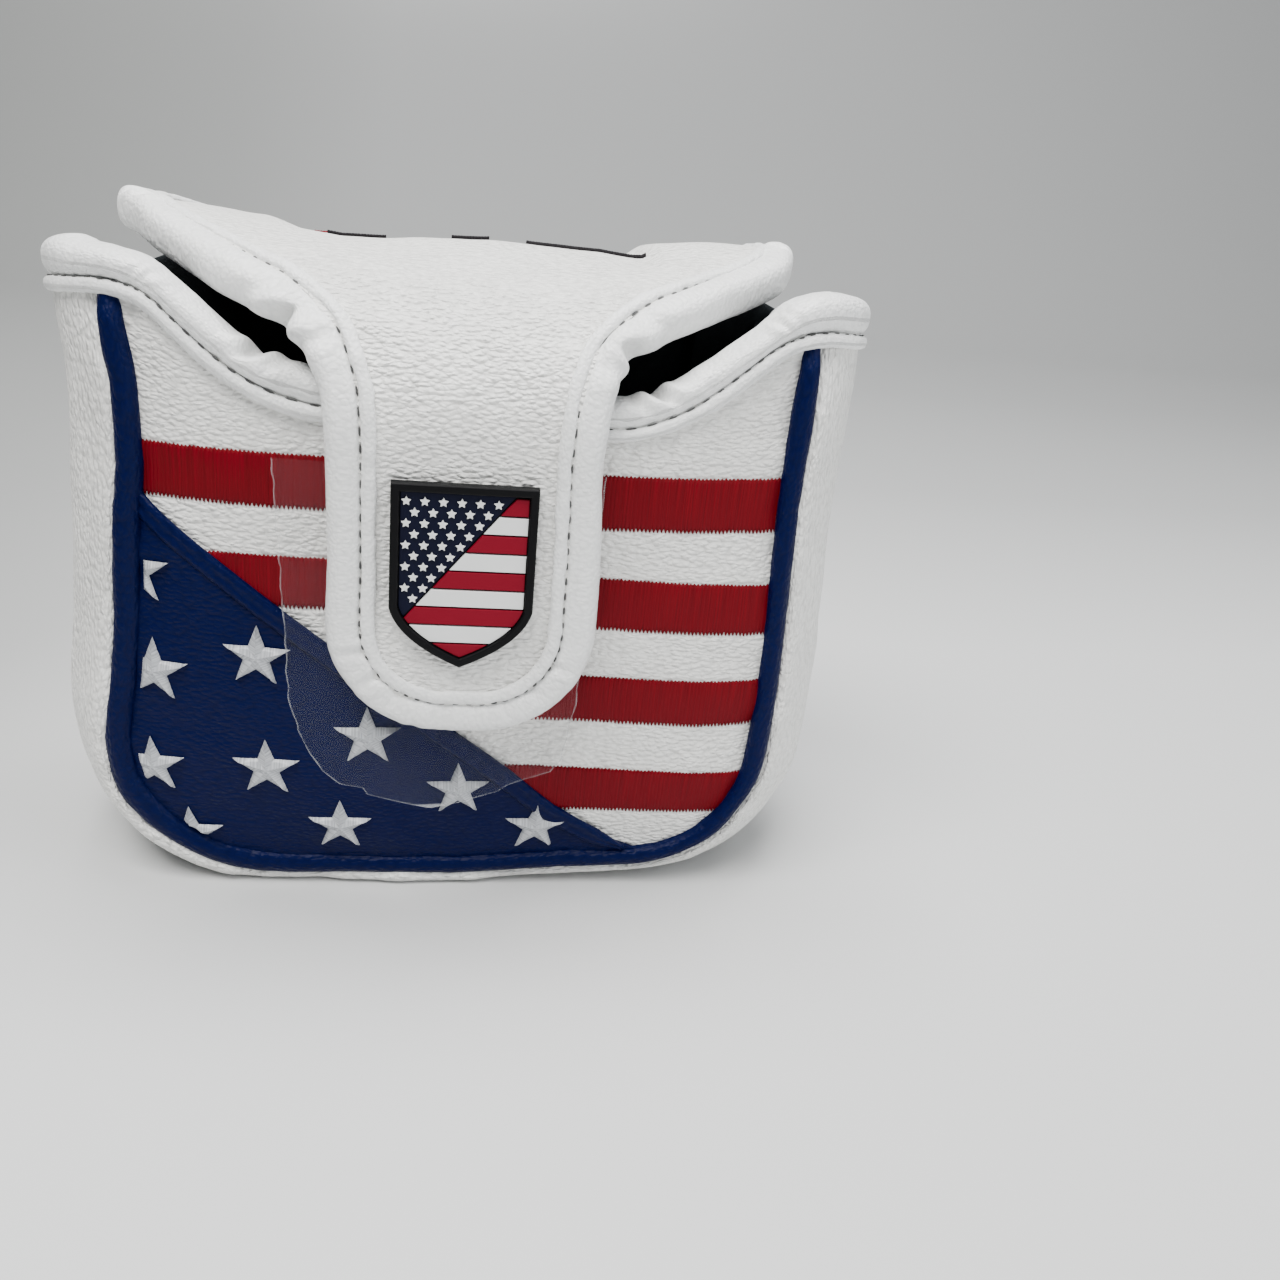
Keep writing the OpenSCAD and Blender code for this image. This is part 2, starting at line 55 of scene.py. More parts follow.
# ---------------------------------------------------------------- sizes, mm
SEAM_W, SEAM_Y, SEAM_Z, CORNER_R = 53.8, 24.0, 4.3, 23.0    # the seams round the front and the back
ROUND_Z = SEAM_Z + CORNER_R                                 # where their lower corners start
MOUTH_H, DIP, MOUTH_FALL = 109.6, 15.6, 0.17                # the mouth's ends, dip and fall to the back
PUFF, BELLY_F, BELLY_B = 12.8, 4.0, 4.5                     # how far the sides, front and back stand out
BAND_INSET, BAND_POWER = 1.8, 2 / 2.3                       # the side band's section
HINGE_Z, CROWN_W, WING_W = 97.0, 48.0, 56.0
TONGUE_W, TONGUE_R, TONGUE_Z = 21.4, 18.5, 37.4
SKIN, FOAM_GAP, LINING_T, WALL_T = 1.2, 0.6, 2.0, 6.0       # layers of a wall, from outside to inside
FOAM_END = WALL_T - LINING_T - 0.1
STRIPE_TOP, STRIPE_H, STRIPES = 80.3, 9.31, 4
R1, R2, R4, FLAT = 13.0, 85.0, 24.7, 3.9                    # the flap's bends and the flat before the last


# ------------------------------------------------------------ small helpers
def ease(t):
    t = np.clip(t, 0, 1)
    return t * t * (3 - 2 * t)


def spow(v, p):
    return np.sign(v) * np.abs(v) ** p


def bump(x, width):
    return np.exp(-((x / width) ** 2))


def lattice(i, j, k, seed):
    h = (i * 374761393 + j * 668265263 + k * 2147483629 + seed * 1274126177) & 0xFFFFFFFF
    h = ((h ^ (h >> 13)) * 1274126177) & 0xFFFFFFFF
    h = h ^ (h >> 16)
    return (h & 0xFFFF) / 32767.5 - 1


def noise(x, y, z=0.0, seed=0):
    """Smooth noise from -1 to 1 with a cell size of 1."""
    x, y, z = np.broadcast_arrays(x, y, np.asarray(z, float))
    i, j, k = (np.floor(v).astype(np.int64) for v in (x, y, z))
    fx, fy, fz = x - i, y - j, z - k
    fx, fy, fz = (f * f * (3 - 2 * f) for f in (fx, fy, fz))
    out = 0.0
    for a in (0, 1):
        for b in (0, 1):
            for c in (0, 1):
                w = (fx if a else 1 - fx) * (fy if b else 1 - fy) * (fz if c else 1 - fz)
                out = out + w * lattice(i + a, j + b, k + c, seed)
    return out


def unit(v):
    return v / np.maximum(np.linalg.norm(v, axis=-1, keepdims=True), 1e-9)


def round_noise(along, g, scale, tight, seed):
    """Noise over a roll: scale mm along it, and tight for how often it changes round it."""
    return noise(along / scale, np.cos(g) * tight, np.sin(g) * tight, seed)


def grid_normals(P):
    return unit(np.cross(np.gradient(P, axis=0), np.gradient(P, axis=1)))


def stack(*parts):
    """Coordinates of matching shapes as one array of points."""
    return np.stack(np.broadcast_arrays(*parts), -1)


def quads(a, b, c, d):
    return np.stack([v.ravel() for v in (a, b, c, d)], -1)


def lengths(P):
    """How far along a polyline each of its points is."""
    return np.r_[0, np.cumsum(np.linalg.norm(np.diff(P, axis=0), axis=1))]


def turns(m):
    """m angles round a full turn."""
    return np.linspace(0, 2 * np.pi, m, endpoint=False)


def crease(skew, wide, deg, at, shoulder, spread):
    """A crease of a roll, 1 deep, with a raised shoulder on each side, centred at the angle at."""
    high, apart, soft = shoulder
    dent = high * bump(np.abs(skew) - apart * wide, soft * wide) - bump(skew, wide)
    return dent * bump((deg - at + 180) % 360 - 180, spread)


def resample(P, n):
    """n points evenly along a polyline, and how far along each is."""
    d = lengths(P)
    t = np.linspace(0, d[-1], n)
    return np.stack([np.interp(t, d, P[:, c]) for c in range(P.shape[1])], -1), t


def soften(P, width):
    """Blur a list of points along its length, keeping the ends."""
    r = int(3 * width)
    k = np.exp(-0.5 * (np.arange(-r, r + 1) / width) ** 2)
    k /= k.sum()
    pad = np.concatenate([2 * P[:1] - P[r:0:-1], P, 2 * P[-1:] - P[-2 : -r - 2 : -1]])
    return np.stack([np.convolve(pad[:, c], k, "valid") for c in range(P.shape[1])], -1)


# -------------------------------------------------------- shape of the pouch
def mid_w(z):
    return SEAM_W + 0.9 * np.sin(np.pi / 2 * (60 - np.clip(z, 25, 95)) / 35)


def seam_x(z, e=0.0):
    r = CORNER_R - e
    t = np.clip((r - (z - SEAM_Z - e)) / r, 0, 1)
    return mid_w(z) - e - r + r * np.sqrt(1 - t * t)


def mouth_z(x):
    return MOUTH_H - DIP * ease((50 - np.abs(x)) / 27)


def mouth_side(y):
    return MOUTH_H - MOUTH_FALL * (y + SEAM_Y)


def puffed(x, z, b):
    a = np.clip(np.abs(x) / seam_x(z), 0, 1)
    return b * (1 - a**3.6) * (1 - (1 - np.clip((z - SEAM_Z) / 38, 0, 1)) ** 2.6)


HEM_Z, HEM_X = [3, 9, 12, 15, 21, 25, 32.5, 38], [41, 28, 23, 18.5, 11.5, 7, -1.7, -7.4]


def field_x(z):
    """Right-hand edge of the star field."""
    high = -49.5 + 1.365 * (70.2 - z) - 1.9 * np.sin(np.pi * np.clip((z - 11) / 59.2, 0, 1))
    return np.where(z < HEM_Z[-1], np.interp(z, HEM_Z, HEM_X), high)


LEFT_SLUMP = ([-5, 4, 10, 18, 29, 35, 40, 46, 51, 59, 69, 77, 89, 98, 104, 120],
              [-0.3, -0.5, -1.5, -2.1, -2.0, -1.4, -0.4, 0.3, 0.65, 0.6, 0.9, 1.75, 1.3, 0, -0.5, -0.5])
RIGHT_SLUMP = ([-5, 4, 15, 25, 40, 55, 75, 88, 98, 120],
               [0, 0, -1.8, -1.0, -0.2, 0, -0.1, 0.65, 0.8, 0.4])
SLUMP_X = 54.0      # the seams' x, where the slump is greatest


MOUTH_X = [-62, -56, -53, -50, -46, -44.5, -42.7, -39.5, -35.5, -31.8, -29.3, -26.4, -24, -15, 15,
           24.5, 30, 34, 38, 43, 46, 48, 51, 53, 56, 62]
MOUTH_RISE = [0.75, 0.9, 0.85, 0.5, 0.15, -0.3, -0.55, -0.65, -0.4, 0, 0.6, 0.95, 0.9, 0.5, -0.5,
              -1.0, -0.8, -1.0, -1.2, -1.15, -0.85, -0.55, 0, 0.5, 0.87, 0.8]


LIFT_X = [-16, 0, 10, 20, 30, 42, 52, 60]
LIFT = {4: [0, 0, 0.5, 1.4, 1.9, 2.2, 2.4, 2.4], 15: [0, 0.8, 1.5, 1.9, 1.7, 1.2, 1.0, 1.0],
        24.4: [0, 1.3, 2.3, 2.0, 1.5, 0.6, 0.3, 0.3], 33.8: [0, 1.4, 2.4, 2.3, 1.8, 1.1, 0.9, 0.9],
        43: [0, 1.4, 2.0, 1.9, 1.4, 0.8, 0.6, 0.6], 52.4: [0, 0.9, 1.3, 1.3, 0.8, 0.2, -0.1, -0.1],
        61.7: [0, 0.9, 1.2, 1.3, 0.8, 0.2, -0.2, -0.2], 71: [0, 0, 0, 0, 0, 0, 0, 0]}


def lifted(x, z):
    """How far the front has been pushed up on the right."""
    rows = list(LIFT)
    return sum(np.interp(z, rows, np.eye(len(rows))[k]) * np.interp(x, LIFT_X, LIFT[row])
               for k, row in enumerate(rows))


def slump(P):
    """The way this one has slumped: its side seams and mouth wander and a lower corner lifts."""
    P = np.array(P, float)
    x, y, z = P[..., 0], P[..., 1], P[..., 2]
    front = ease((14 - y) / 26)
    near = np.minimum(np.abs(x) / SLUMP_X, 1) ** 5
    past = np.clip((np.abs(x) - SLUMP_X) / 12, 0, 1)
    left = np.interp(z, *LEFT_SLUMP) * (near - 0.6 * past)
    right = np.interp(z, *RIGHT_SLUMP) * (near - 0.4 * past)
    mouth = np.interp(x, MOUTH_X, MOUTH_RISE) * ease((z - 82) / 14) * front
    rise = lifted(x, z) * front
    P[..., 0] = x + np.where(x < 0, left, right) * front
    P[..., 2] = z + rise + mouth
    return P


def seam_distance(x, z):
    side = seam_x(z) - np.abs(x)
    return np.minimum(np.maximum(side, 0), np.maximum(z - SEAM_Z, 0) + 2)


def stripe_press(z):
    """1 under the stitching of a stripe, 0 between stripes."""
    mids = [STRIPE_TOP - (2 * i + 0.5) * STRIPE_H for i in range(STRIPES)]
    return sum(ease((STRIPE_H / 2 + 0.7 - np.abs(z - mid)) / 1.4) for mid in mids)


def stripe_shift(x, z):
    """How much higher the stripes are sewn on the left of the front."""
    return np.interp(z, [52.4, 61.7, 71, 80.3, 90], [2.8, 2.4, 1.0, 0.5, 0]) * ease((-12 - x) / 8)


def front_relief(x, z):
    """How far the front leathercloth stands out from its plain shape."""
    d = seam_distance(x, z)
    along = np.where(z < ROUND_Z, np.arctan2(np.abs(x) - 30, ROUND_Z - z) * 24, 38 + z)
    along = along * np.sign(x)
    pucker = noise(along / 4.2, d / 16, 0, 11) * np.exp(-d / 5.5) * 0.42
    seam_dip = -0.55 * np.exp(-((d / 3.2) ** 2))
    right = ease((x - field_x(z)) / 3)
    press = stripe_press(z - stripe_shift(x, z))
    bands = right * (0.34 * (1 - press) - 0.18) * ease((z - 8) / 6) * ease((90 - z) / 6)
    edge = right * (1 - press) * noise(x / 2.1, z / 6.5, 0, 5) * 0.10
    soft = 0.30 * noise(x / 17, z / 15, 0, 2) + 0.10 * noise(x / 6, z / 5, 0, 3)
    under_mouth = np.exp(-np.maximum(mouth_z(x) - 8.6 - z, 0) / 5.0)
    gather = noise(x / 3.4, z / 14, 0, 7) * under_mouth * 0.30
    return seam_dip + pucker + bands + edge + soft + gather


def front_pt(x, z, off=0.0, relief=1.0):
    """Point of the pouch's front, off mm out of the leathercloth."""
    x, z = np.broadcast_arrays(np.asarray(x, float), np.asarray(z, float))
    return stack(x, -SEAM_Y - puffed(x, z, BELLY_F) - off - relief * front_relief(x, z), z)


def back_relief(x, z):
    d = seam_distance(x, z)
    press = stripe_press(z) * ease((z - 8) / 6)
    bands = (0.3 * (1 - press) - 0.16) * ease((z - 8) / 6) * ease((88 - z) / 6)
    return (-0.5 * np.exp(-((d / 3.2) ** 2)) + noise(z / 4.4, d / 16, 0, 12) * np.exp(-d / 5.5) * 0.35
            + bands + 0.28 * noise(x / 16, z / 14, 0, 22))


# --------------------------------------------------------- shape of the flap
D80, D100 = math.radians(80), math.radians(100)
S1 = R1 * D80
S2 = S1 + R2 * math.radians(20)
S3 = S2 + FLAT
S4 = S3 + R4 * D80
FOLD_Y = SEAM_Y + BELLY_B
C1 = np.array([FOLD_Y - R1, HINGE_Z])
OUT80, OUT100 = (np.array([math.cos(a), math.sin(a)]) for a in (D80, D100))
C2 = C1 + (R1 - R2) * OUT80
P2 = C2 + R2 * OUT100
C4 = P2 + FLAT * np.array([-OUT100[1], OUT100[0]]) - R4 * OUT100
S_TIP = S4 + C4[1] - TONGUE_Z
FACE_Y = C4[0] - R4
S_SPLIT = 68.5          # crown and tongue pieces meet here
def profile(s):
    """The flap's outer line at s: its y and z, and the way out as a cosine and a sine."""
    s = np.asarray(s, float)
    spans = [s < 0, s < S1, s < S2, s < S3, s < S4]
    turn = [0 * s, s / R1, D80 + (s - S1) / R2, D100 + 0 * s, D100 + (s - S3) / R4]
    h = np.select(spans, turn, np.pi)
    c, n = np.cos(h), np.sin(h)
    y = [FOLD_Y + 0 * s, C1[0] + R1 * c, C2[0] + R2 * c, P2[0] - (s - S2) * math.sin(D100), C4[0] + R4 * c]
    z = [HINGE_Z + s, C1[1] + R1 * n, C2[1] + R2 * n, P2[1] + (s - S2) * math.cos(D100), C4[1] + R4 * n]
    return np.select(spans, y, FACE_Y), np.select(spans, z, C4[1] - (s - S4)), c, n


KNOTS = np.array([
    [-30, CROWN_W], [0, CROWN_W], [14, CROWN_W + 3], [28, WING_W - 1.4], [36, WING_W - 0.4],
    [40, WING_W - 2.2], [45, 51.1], [51, 45.4], [58, 38.3], [65, 29.3], [72, 24], [80, 21.7],
    [90, TONGUE_W - 0.1], [104, TONGUE_W], [300, TONGUE_W]])
SIDE_S = [0, 20, 30, 36, 40, 43, 46, 49, 52, 55, 58, 61, 64, 66.5, 69, 72, 75, 78, 82, 86, 91, 97, 105, 120]
WIDER_LEFT = [0, 0, 2.2, 1.4, 0.3, -0.05, -0.1, -0.1, 0, 0.45, 0.95, 1.2, 1.1, 0.6, 0.3, 0.45,
              0.4, 0.1, 0.1, 0, -0.1, -0.25, -0.45, 0]
WIDER_RIGHT = [0, 0, -1.35, -1.28, -0.6, 0.2, 0.55, 0.2, -0.4, -0.85, -0.85, -0.5, -0.6, -1.3, -1.7, -1.35,
               -0.95, -0.75, -0.75, -0.85, -0.7, -0.27, 0, 0]


def flap_w(s):
    """Half-width of the flap: a monotone cubic through the knots."""
    x, y = KNOTS[:, 0], KNOTS[:, 1]
    d = np.diff(y) / np.diff(x)
    m = np.zeros(len(x))
    same = d[:-1] * d[1:] > 0
    m[1:-1][same] = 2 * d[:-1][same] * d[1:][same] / (d[:-1] + d[1:])[same]
    s = np.clip(s, -29, 299)
    i = np.clip(np.searchsorted(x, s, side="right") - 1, 0, len(x) - 2)
    h = x[i + 1] - x[i]
    t = (s - x[i]) / h
    return ((1 + 2 * t) * (1 - t) ** 2 * y[i] + t * (1 - t) ** 2 * h * m[i]
            + t * t * (3 - 2 * t) * y[i + 1] + t * t * (t - 1) * h * m[i + 1])


def flap_slope(s):
    return flap_w(s + 0.5) - flap_w(s - 0.5)


def tongue_half(s, e):
    r = TONGUE_R - e
    t = np.clip((s - (S_TIP - TONGUE_R)) / r, 0, 1)
    return flap_w(s) - e - r + r * np.sqrt(np.maximum(1 - t * t, 0))


def flap_relief(s, x):
    """Soft unevenness of the flap's outer leathercloth."""
    w = flap_w(s)
    d = w - np.abs(x)
    root = bump(s - 71, 9) * bump(np.abs(x) - w + 6, 7)
    out = 0.26 * noise(s / 15, x / 13, 0, 31) + 0.10 * noise(s / 6, x / 5, 0, 32)
    out = out + root * 0.55 * noise(s / 3.2, x / 7, 0, 33)
    out = out + np.exp(-d / 7) * 0.22 * noise(s / 4.5, d / 9, 0, 34)
    crown = ease((70 - s) / 20) * ease((s - 4) / 10)
    out = out + crown * 0.4 * noise(s / 26, x / 20, 0, 35)
    return out * ease((s + 12) / 12)


def flap_sag(s, x):
    """Where the whole thickness of the flap is pressed in or stands up."""
    pressed = ease((s - 5) / 6) * ease((40 - s) / 12) * ease((x + 36) / 9) * ease((30.5 - x) / 5)
    full = ease((s - 8) / 10) * ease((44 - s) / 12)
    out = -2.1 * pressed + full * (0.9 * bump(x - 39, 9) - 0.5 * bump(x + 36, 8))
    crest = ease((s - 24) / 8) * ease((52 - s) / 12)
    out = out + crest * np.interp(x, [-50, -30, -21.7, -9, -3.6, 2.2, 8.6, 14, 20.8, 25, 28, 31, 37],
                                  [0, -0.6, -1.0, 0.3, 0.6, 0.9, 0.75, 0.5, 0.05, -0.6, -1.1, 0, 0.1])
    return out * ease((s + 12) / 12)


def uneven(s, x):
    """The flap of this one is not the same on the left as on the right."""
    k = np.clip(np.abs(x) / flap_w(s), 0, 1.1) ** 3
    return x + k * np.where(x < 0, -np.interp(s, SIDE_S, WIDER_LEFT), np.interp(s, SIDE_S, WIDER_RIGHT))


def flap_pt(s, x, off=0.0, relief=0.0, sag=0.0):
    s, x = np.broadcast_arrays(np.asarray(s, float), np.asarray(x, float))
    x = uneven(s, x)
    y, z, c, n = profile(s)
    up = (s >= 0) * (1 - ease(s / 24))
    tuck = up * (BELLY_B - puffed(x, HINGE_Z, BELLY_B))
    lift = 2.6 * np.exp(-(((s - 38) / 16) ** 2)) * (np.abs(x) / 50) ** 2.2
    off = off + relief * flap_relief(s, x) + sag * flap_sag(s, x)
    low = s < 0
    zl = np.where(low, HINGE_Z + s, HINGE_Z)
    yb = SEAM_Y + puffed(x, zl, BELLY_B) + off + relief * back_relief(x, zl) * ease(-s / 12)
    return np.stack([x, np.where(low, yb, y + c * off - tuck), np.where(low, zl, z + n * off + lift)], -1)


# ------------------------------------------------------------- mesh builders
def link(name, data):
    obj = bpy.data.objects.new(name, data)
    bpy.context.scene.collection.objects.link(obj)
    return obj


def make_object(name, verts, faces, uv, mat, normals=None, slumped=True):
    """verts in mm, faces a list of (n, k) index arrays, uv per vertex in cm."""
    if slumped:
        verts = slump(verts)
    loops = np.concatenate([f.ravel() for f in faces]).astype(np.int32)
    sizes = np.concatenate([np.full(len(f), f.shape[1]) for f in faces]).astype(np.int32)
    mesh = bpy.data.meshes.new(name)
    mesh.vertices.add(len(verts))
    mesh.vertices.foreach_set("co", (np.asarray(verts) * MM).astype(np.float32).ravel())
    mesh.loops.add(len(loops))
    mesh.loops.foreach_set("vertex_index", loops)
    mesh.polygons.add(len(sizes))
    mesh.polygons.foreach_set("loop_start", np.r_[0, np.cumsum(sizes)[:-1]].astype(np.int32))
    mesh.polygons.foreach_set("loop_total", sizes)
    mesh.polygons.foreach_set("use_smooth", np.ones(len(sizes), bool))
    layer = mesh.uv_layers.new(name="UVMap")
    layer.data.foreach_set("uv", np.asarray(uv, np.float32)[loops].ravel())
    mesh.update(calc_edges=True)
    mesh.materials.append(mat)
    if normals is not None:
        mesh.normals_split_custom_set_from_vertices(normals.astype(np.float32).tolist())
    return link(name, mesh)


def outward(verts, faces):
    """Turn the faces round if the closed mesh is inside out."""
    v = 0.0
    for f in faces:
        a = verts[f[:, 0]]
        for k in range(1, f.shape[1] - 1):
            v += np.einsum("ij,ij->i", a, np.cross(verts[f[:, k]], verts[f[:, k + 1]])).sum()
    return faces if v > 0 else [f[:, ::-1] for f in faces]


def attach(obj, body, nodes, slot, fill=None):
    """Says what a piece rides on and which CAD nodes it stands for; its finish, slot, is not used."""
    if body in BENDS:
        BENDS[body](obj)
    else:
        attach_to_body(obj, body)
    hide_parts(*nodes)


def bend_crown(obj):
    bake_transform(obj)


def bend_tongue(obj):
    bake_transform(obj)


BENDS = {"crown_bend": bend_crown, "tongue_bend": bend_tongue}


def sheet(name, A, B, mat, uv=None, outer_normals=None, slumped=True):
    """A closed sheet between two grids of points of the same shape."""
    n, m = A.shape[:2]
    idx = np.arange(n * m).reshape(n, m)
    far = idx + n * m
    top = quads(idx[:-1, :-1], idx[1:, :-1], idx[1:, 1:], idx[:-1, 1:])
    faces = [top, top[:, ::-1] + n * m,
             quads(idx[1:, 0], idx[:-1, 0], far[:-1, 0], far[1:, 0]),
             quads(idx[:-1, -1], idx[1:, -1], far[1:, -1], far[:-1, -1]),
             quads(idx[0, :-1], idx[0, 1:], far[0, 1:], far[0, :-1]),
             quads(idx[-1, 1:], idx[-1, :-1], far[-1, :-1], far[-1, 1:])]
    verts = np.concatenate([A.reshape(-1, 3), B.reshape(-1, 3)])
    uv = np.stack([A[..., 0], A[..., 2]], -1) / 10 if uv is None else uv
    normals = None
    if outer_normals is not None:
        normals = np.concatenate([outer_normals.reshape(-1, 3), -outer_normals.reshape(-1, 3)])
    return make_object(name, verts, outward(verts, faces), np.tile(uv.reshape(-1, 2), (2, 1)), mat,
                       normals, slumped)


def roll(name, R, mat, uv=None, normals=None, slumped=True):
    """A roll with closed ends through the rings of points R (n, m, 3)."""
    n, m = R.shape[:2]
    idx = np.arange(n * m).reshape(n, m)
    nxt = np.roll(idx, -1, axis=1)
    verts = np.concatenate([R.reshape(-1, 3), [R[0].mean(0), R[-1].mean(0)]])
    faces = [quads(idx[:-1], idx[1:], nxt[1:], nxt[:-1]),
             np.stack([np.full(m, n * m), idx[0], nxt[0]], -1),
             np.stack([np.full(m, n * m + 1), nxt[-1], idx[-1]], -1)]
    if uv is None:
        middle = R[n // 2]
        girth = lengths(np.concatenate([middle, middle[:1]]))[-1]
        uv = stack(lengths(R.mean(1))[:, None], np.linspace(0, girth, m)[None]) / 10
    uv = uv.reshape(-1, 2)
    uv = np.concatenate([uv, uv[:1], uv[-1:]])
    if normals is not None:
        normals = np.concatenate([normals.reshape(-1, 3), [[0, 0, 1], [0, 0, 1]]])
    return make_object(name, verts, outward(verts, faces), uv, mat, normals, slumped)


# ----------------------------------------------------------------- materials
class Graph:
    """A small helper that builds one procedural material."""

    def __init__(self, name, color, rough, **sockets):
        self.mat = bpy.data.materials.new(name)
        self.mat.use_nodes = True
        self.tree = self.mat.node_tree
        self.bsdf = self.tree.nodes["Principled BSDF"]
        self.bsdf.inputs["Base Color"].default_value = (*color, 1)
        self.bsdf.inputs["Roughness"].default_value = rough
        for key, value in sockets.items():
            self.bsdf.inputs[key.replace("_", " ")].default_value = value
        self.uv = self.node("ShaderNodeTexCoord").outputs["UV"]
        self.height = None

    def node(self, kind, **inputs):
        n = self.tree.nodes.new(kind)
        for key, value in inputs.items():
            self.put(n, key.replace("_", " "), value)
        return n

    def put(self, n, key, value):
        socket = n.inputs[int(key)] if key.isdigit() else n.inputs[key]
        if isinstance(value, bpy.types.NodeSocket):
            self.tree.links.new(value, socket)
        else:
            socket.default_value = value

    def stretch(self, sx, sy, turn=0.0):
        n = self.node("ShaderNodeMapping", Vector=self.uv, Scale=(sx, sy, 1), Rotation=(0, 0, turn))
        return n.outputs["Vector"]

    def noise(self, vector, scale, detail=2.0, rough=0.5):
        return self.node("ShaderNodeTexNoise", Vector=vector, Scale=scale, Detail=detail,
                         Roughness=rough).outputs["Fac"]

    def math(self, op, a, b=0.0, c=0.0):
        n = self.tree.nodes.new("ShaderNodeMath")
        n.operation = op
        for i, v in enumerate((a, b, c)):
            self.put(n, str(i), v)
        return n.outputs[0]

    def ramp(self, value, *stops):
        n = self.node("ShaderNodeValToRGB", Fac=value)
        while len(n.color_ramp.elements) < len(stops):
            n.color_ramp.elements.new(0.5)
        for e, (at, col) in zip(n.color_ramp.elements, stops):
            e.position = at
            e.color = (*col, 1) if isinstance(col, tuple) else (col, col, col, 1)
        return n.outputs["Color"]

    def bump(self, height, distance, strength=1.0):
        n = self.node("ShaderNodeBump", Height=height, Distance=distance, Strength=strength)
        if self.height is not None:
            self.tree.links.new(self.height, n.inputs["Normal"])
        self.height = n.outputs["Normal"]
        self.tree.links.new(self.height, self.bsdf.inputs["Normal"])

    def mixcolor(self, fac, a, b):
        n = self.tree.nodes.new("ShaderNodeMix")
        n.data_type = "RGBA"
        self.put(n, "0", fac)
        for i, v in ((6, a), (7, b)):
            if isinstance(v, tuple):
                n.inputs[i].default_value = (*v, 1)
            else:
                self.tree.links.new(v, n.inputs[i])
        return n.outputs[2]

    def color(self, socket):
        self.tree.links.new(socket, self.bsdf.inputs["Base Color"])

    def rough(self, socket):
        self.tree.links.new(socket, self.bsdf.inputs["Roughness"])


def pebble(g, cell_mm, depth, strength, sx, sy):
    """Grain of small rounded ridges with creases between them; returns the crease depth."""
    v = g.stretch(sx, sy)
    warp = g.node("ShaderNodeTexNoise", Vector=v, Scale=6.0 / cell_mm, Detail=2.0).outputs["Color"]
    moved = g.node("ShaderNodeVectorMath")
    moved.operation = "MULTIPLY_ADD"
    g.put(moved, "0", warp)
    moved.inputs[1].default_value = (0.11 * cell_mm,) * 3
    g.put(moved, "2", v)
    cells = g.tree.nodes.new("ShaderNodeTexVoronoi")
    cells.feature = "SMOOTH_F1"
    g.put(cells, "Vector", moved.outputs[0])
    g.put(cells, "Scale", 10.0 / cell_mm)
    g.put(cells, "Smoothness", 0.35)
    height = g.math("MULTIPLY", cells.outputs["Distance"], -1.0)
    where = g.noise(g.stretch(1, 1), 1.1, 2.0)
    amount = g.math("MULTIPLY_ADD", where, 1.1, 0.35)
    g.bump(g.math("MULTIPLY", height, amount), depth, strength)
    return cells.outputs["Distance"]


def leather(name, color, shade_color, rough, cell=0.95, depth=0.0006, strength=0.9, sx=0.62, sy=1.15, **sockets):
    g = Graph(name, color, rough, **sockets)
    fine = g.noise(g.stretch(1, 1), 34.0, 3.0, 0.6)
    g.bump(fine, 0.00008, 0.5)
    dist = pebble(g, cell, depth, strength, sx, sy)
    blotch = g.noise(g.stretch(1, 1), 0.55, 3.0)
    # The grain's creases are painted halfway towards the darker colour: painted shade in the hollows of the
    # grain.
    crease = g.ramp(dist, (0.35, 0.0), (0.80, 1.0))
    shade = g.mixcolor(g.math("MULTIPLY", crease, 0.5), color, shade_color)
    tint = g.mixcolor(g.ramp(blotch, (0.35, 0.0), (0.75, 0.5)), shade, tuple(0.94 * c for c in color))
    g.color(tint)
    g.rough(g.math("MULTIPLY_ADD", fine, 0.16, rough - 0.08))
    return g.mat


def thread(name, color, shade_color, rough, pitch, **sockets):
    """Satin stitch: fine threads that run along v, side by side along u, pitch cm apart."""
    g = Graph(name, color, rough, **sockets)
    strands = g.noise(g.stretch(1.0 / pitch, 0.55), 1.0, 2.0, 0.55)
    twist = g.noise(g.stretch(0.9 / pitch, 7.0), 1.0, 1.0, 0.5)
    broad = g.noise(g.stretch(1, 1), 1.3, 2.0)
    # The lower strands are painted towards the darker colour: painted shade between the threads.
    mixed = g.mixcolor(g.ramp(strands, (0.30, 0.0), (0.68, 1.0)), shade_color, color)
    g.color(g.mixcolor(g.math("MULTIPLY", broad, 0.5), mixed, tuple(0.72 * c for c in color)))
    g.bump(strands, 0.00014, 0.7)
    g.bump(twist, 0.00008, 0.5)
    return g.mat


# The second colour of each leathercloth and thread below is painted shade: in the creases of the grain and
# between the strands of thread.
WHITE = leather("white_leathercloth", (0.87, 0.865, 0.835), (0.50, 0.495, 0.475), 0.42,
                cell=0.78, depth=0.0007)
WHITE_FINE = leather("white_leathercloth_smooth", (0.87, 0.875, 0.865), (0.68, 0.69, 0.685), 0.38,
                     cell=0.64, depth=0.00026, strength=0.7, sx=0.9, sy=1.0)
NAVY = leather("navy_leathercloth", (0.0006, 0.0032, 0.039), (0.0004, 0.0019, 0.023), 0.38, cell=0.8,
               depth=0.0003, strength=0.6, Specular_IOR_Level=0.08)
RED_THREAD = thread("red_thread", (0.17, 0.0004, 0.0065), (0.09, 0.0002, 0.0035), 0.5, 0.026,
                    Specular_IOR_Level=0.1)
BLACK_THREAD = thread("black_thread", (0.012, 0.010, 0.012), (0.004, 0.003, 0.004), 0.6, 0.026,
                      Specular_IOR_Level=0.1)
SILVER_THREAD = thread("silver_thread", (0.62, 0.635, 0.66), (0.16, 0.17, 0.19), 0.34, 0.036,
                       Specular_IOR_Level=0.5)


def plush():
    g = Graph("plush_lining", (0.012, 0.015, 0.017), 0.95, Sheen_Weight=0.10, Sheen_Roughness=0.45,
              Specular_IOR_Level=0.1)
    g.bump(g.noise(g.stretch(1, 1), 30.0, 3.0, 0.7), 0.0004, 0.8)
    g.color(g.mixcolor(g.noise(g.stretch(1, 1), 4.0, 2.0), (0.010, 0.013, 0.015), (0.022, 0.026, 0.029)))
    return g.mat


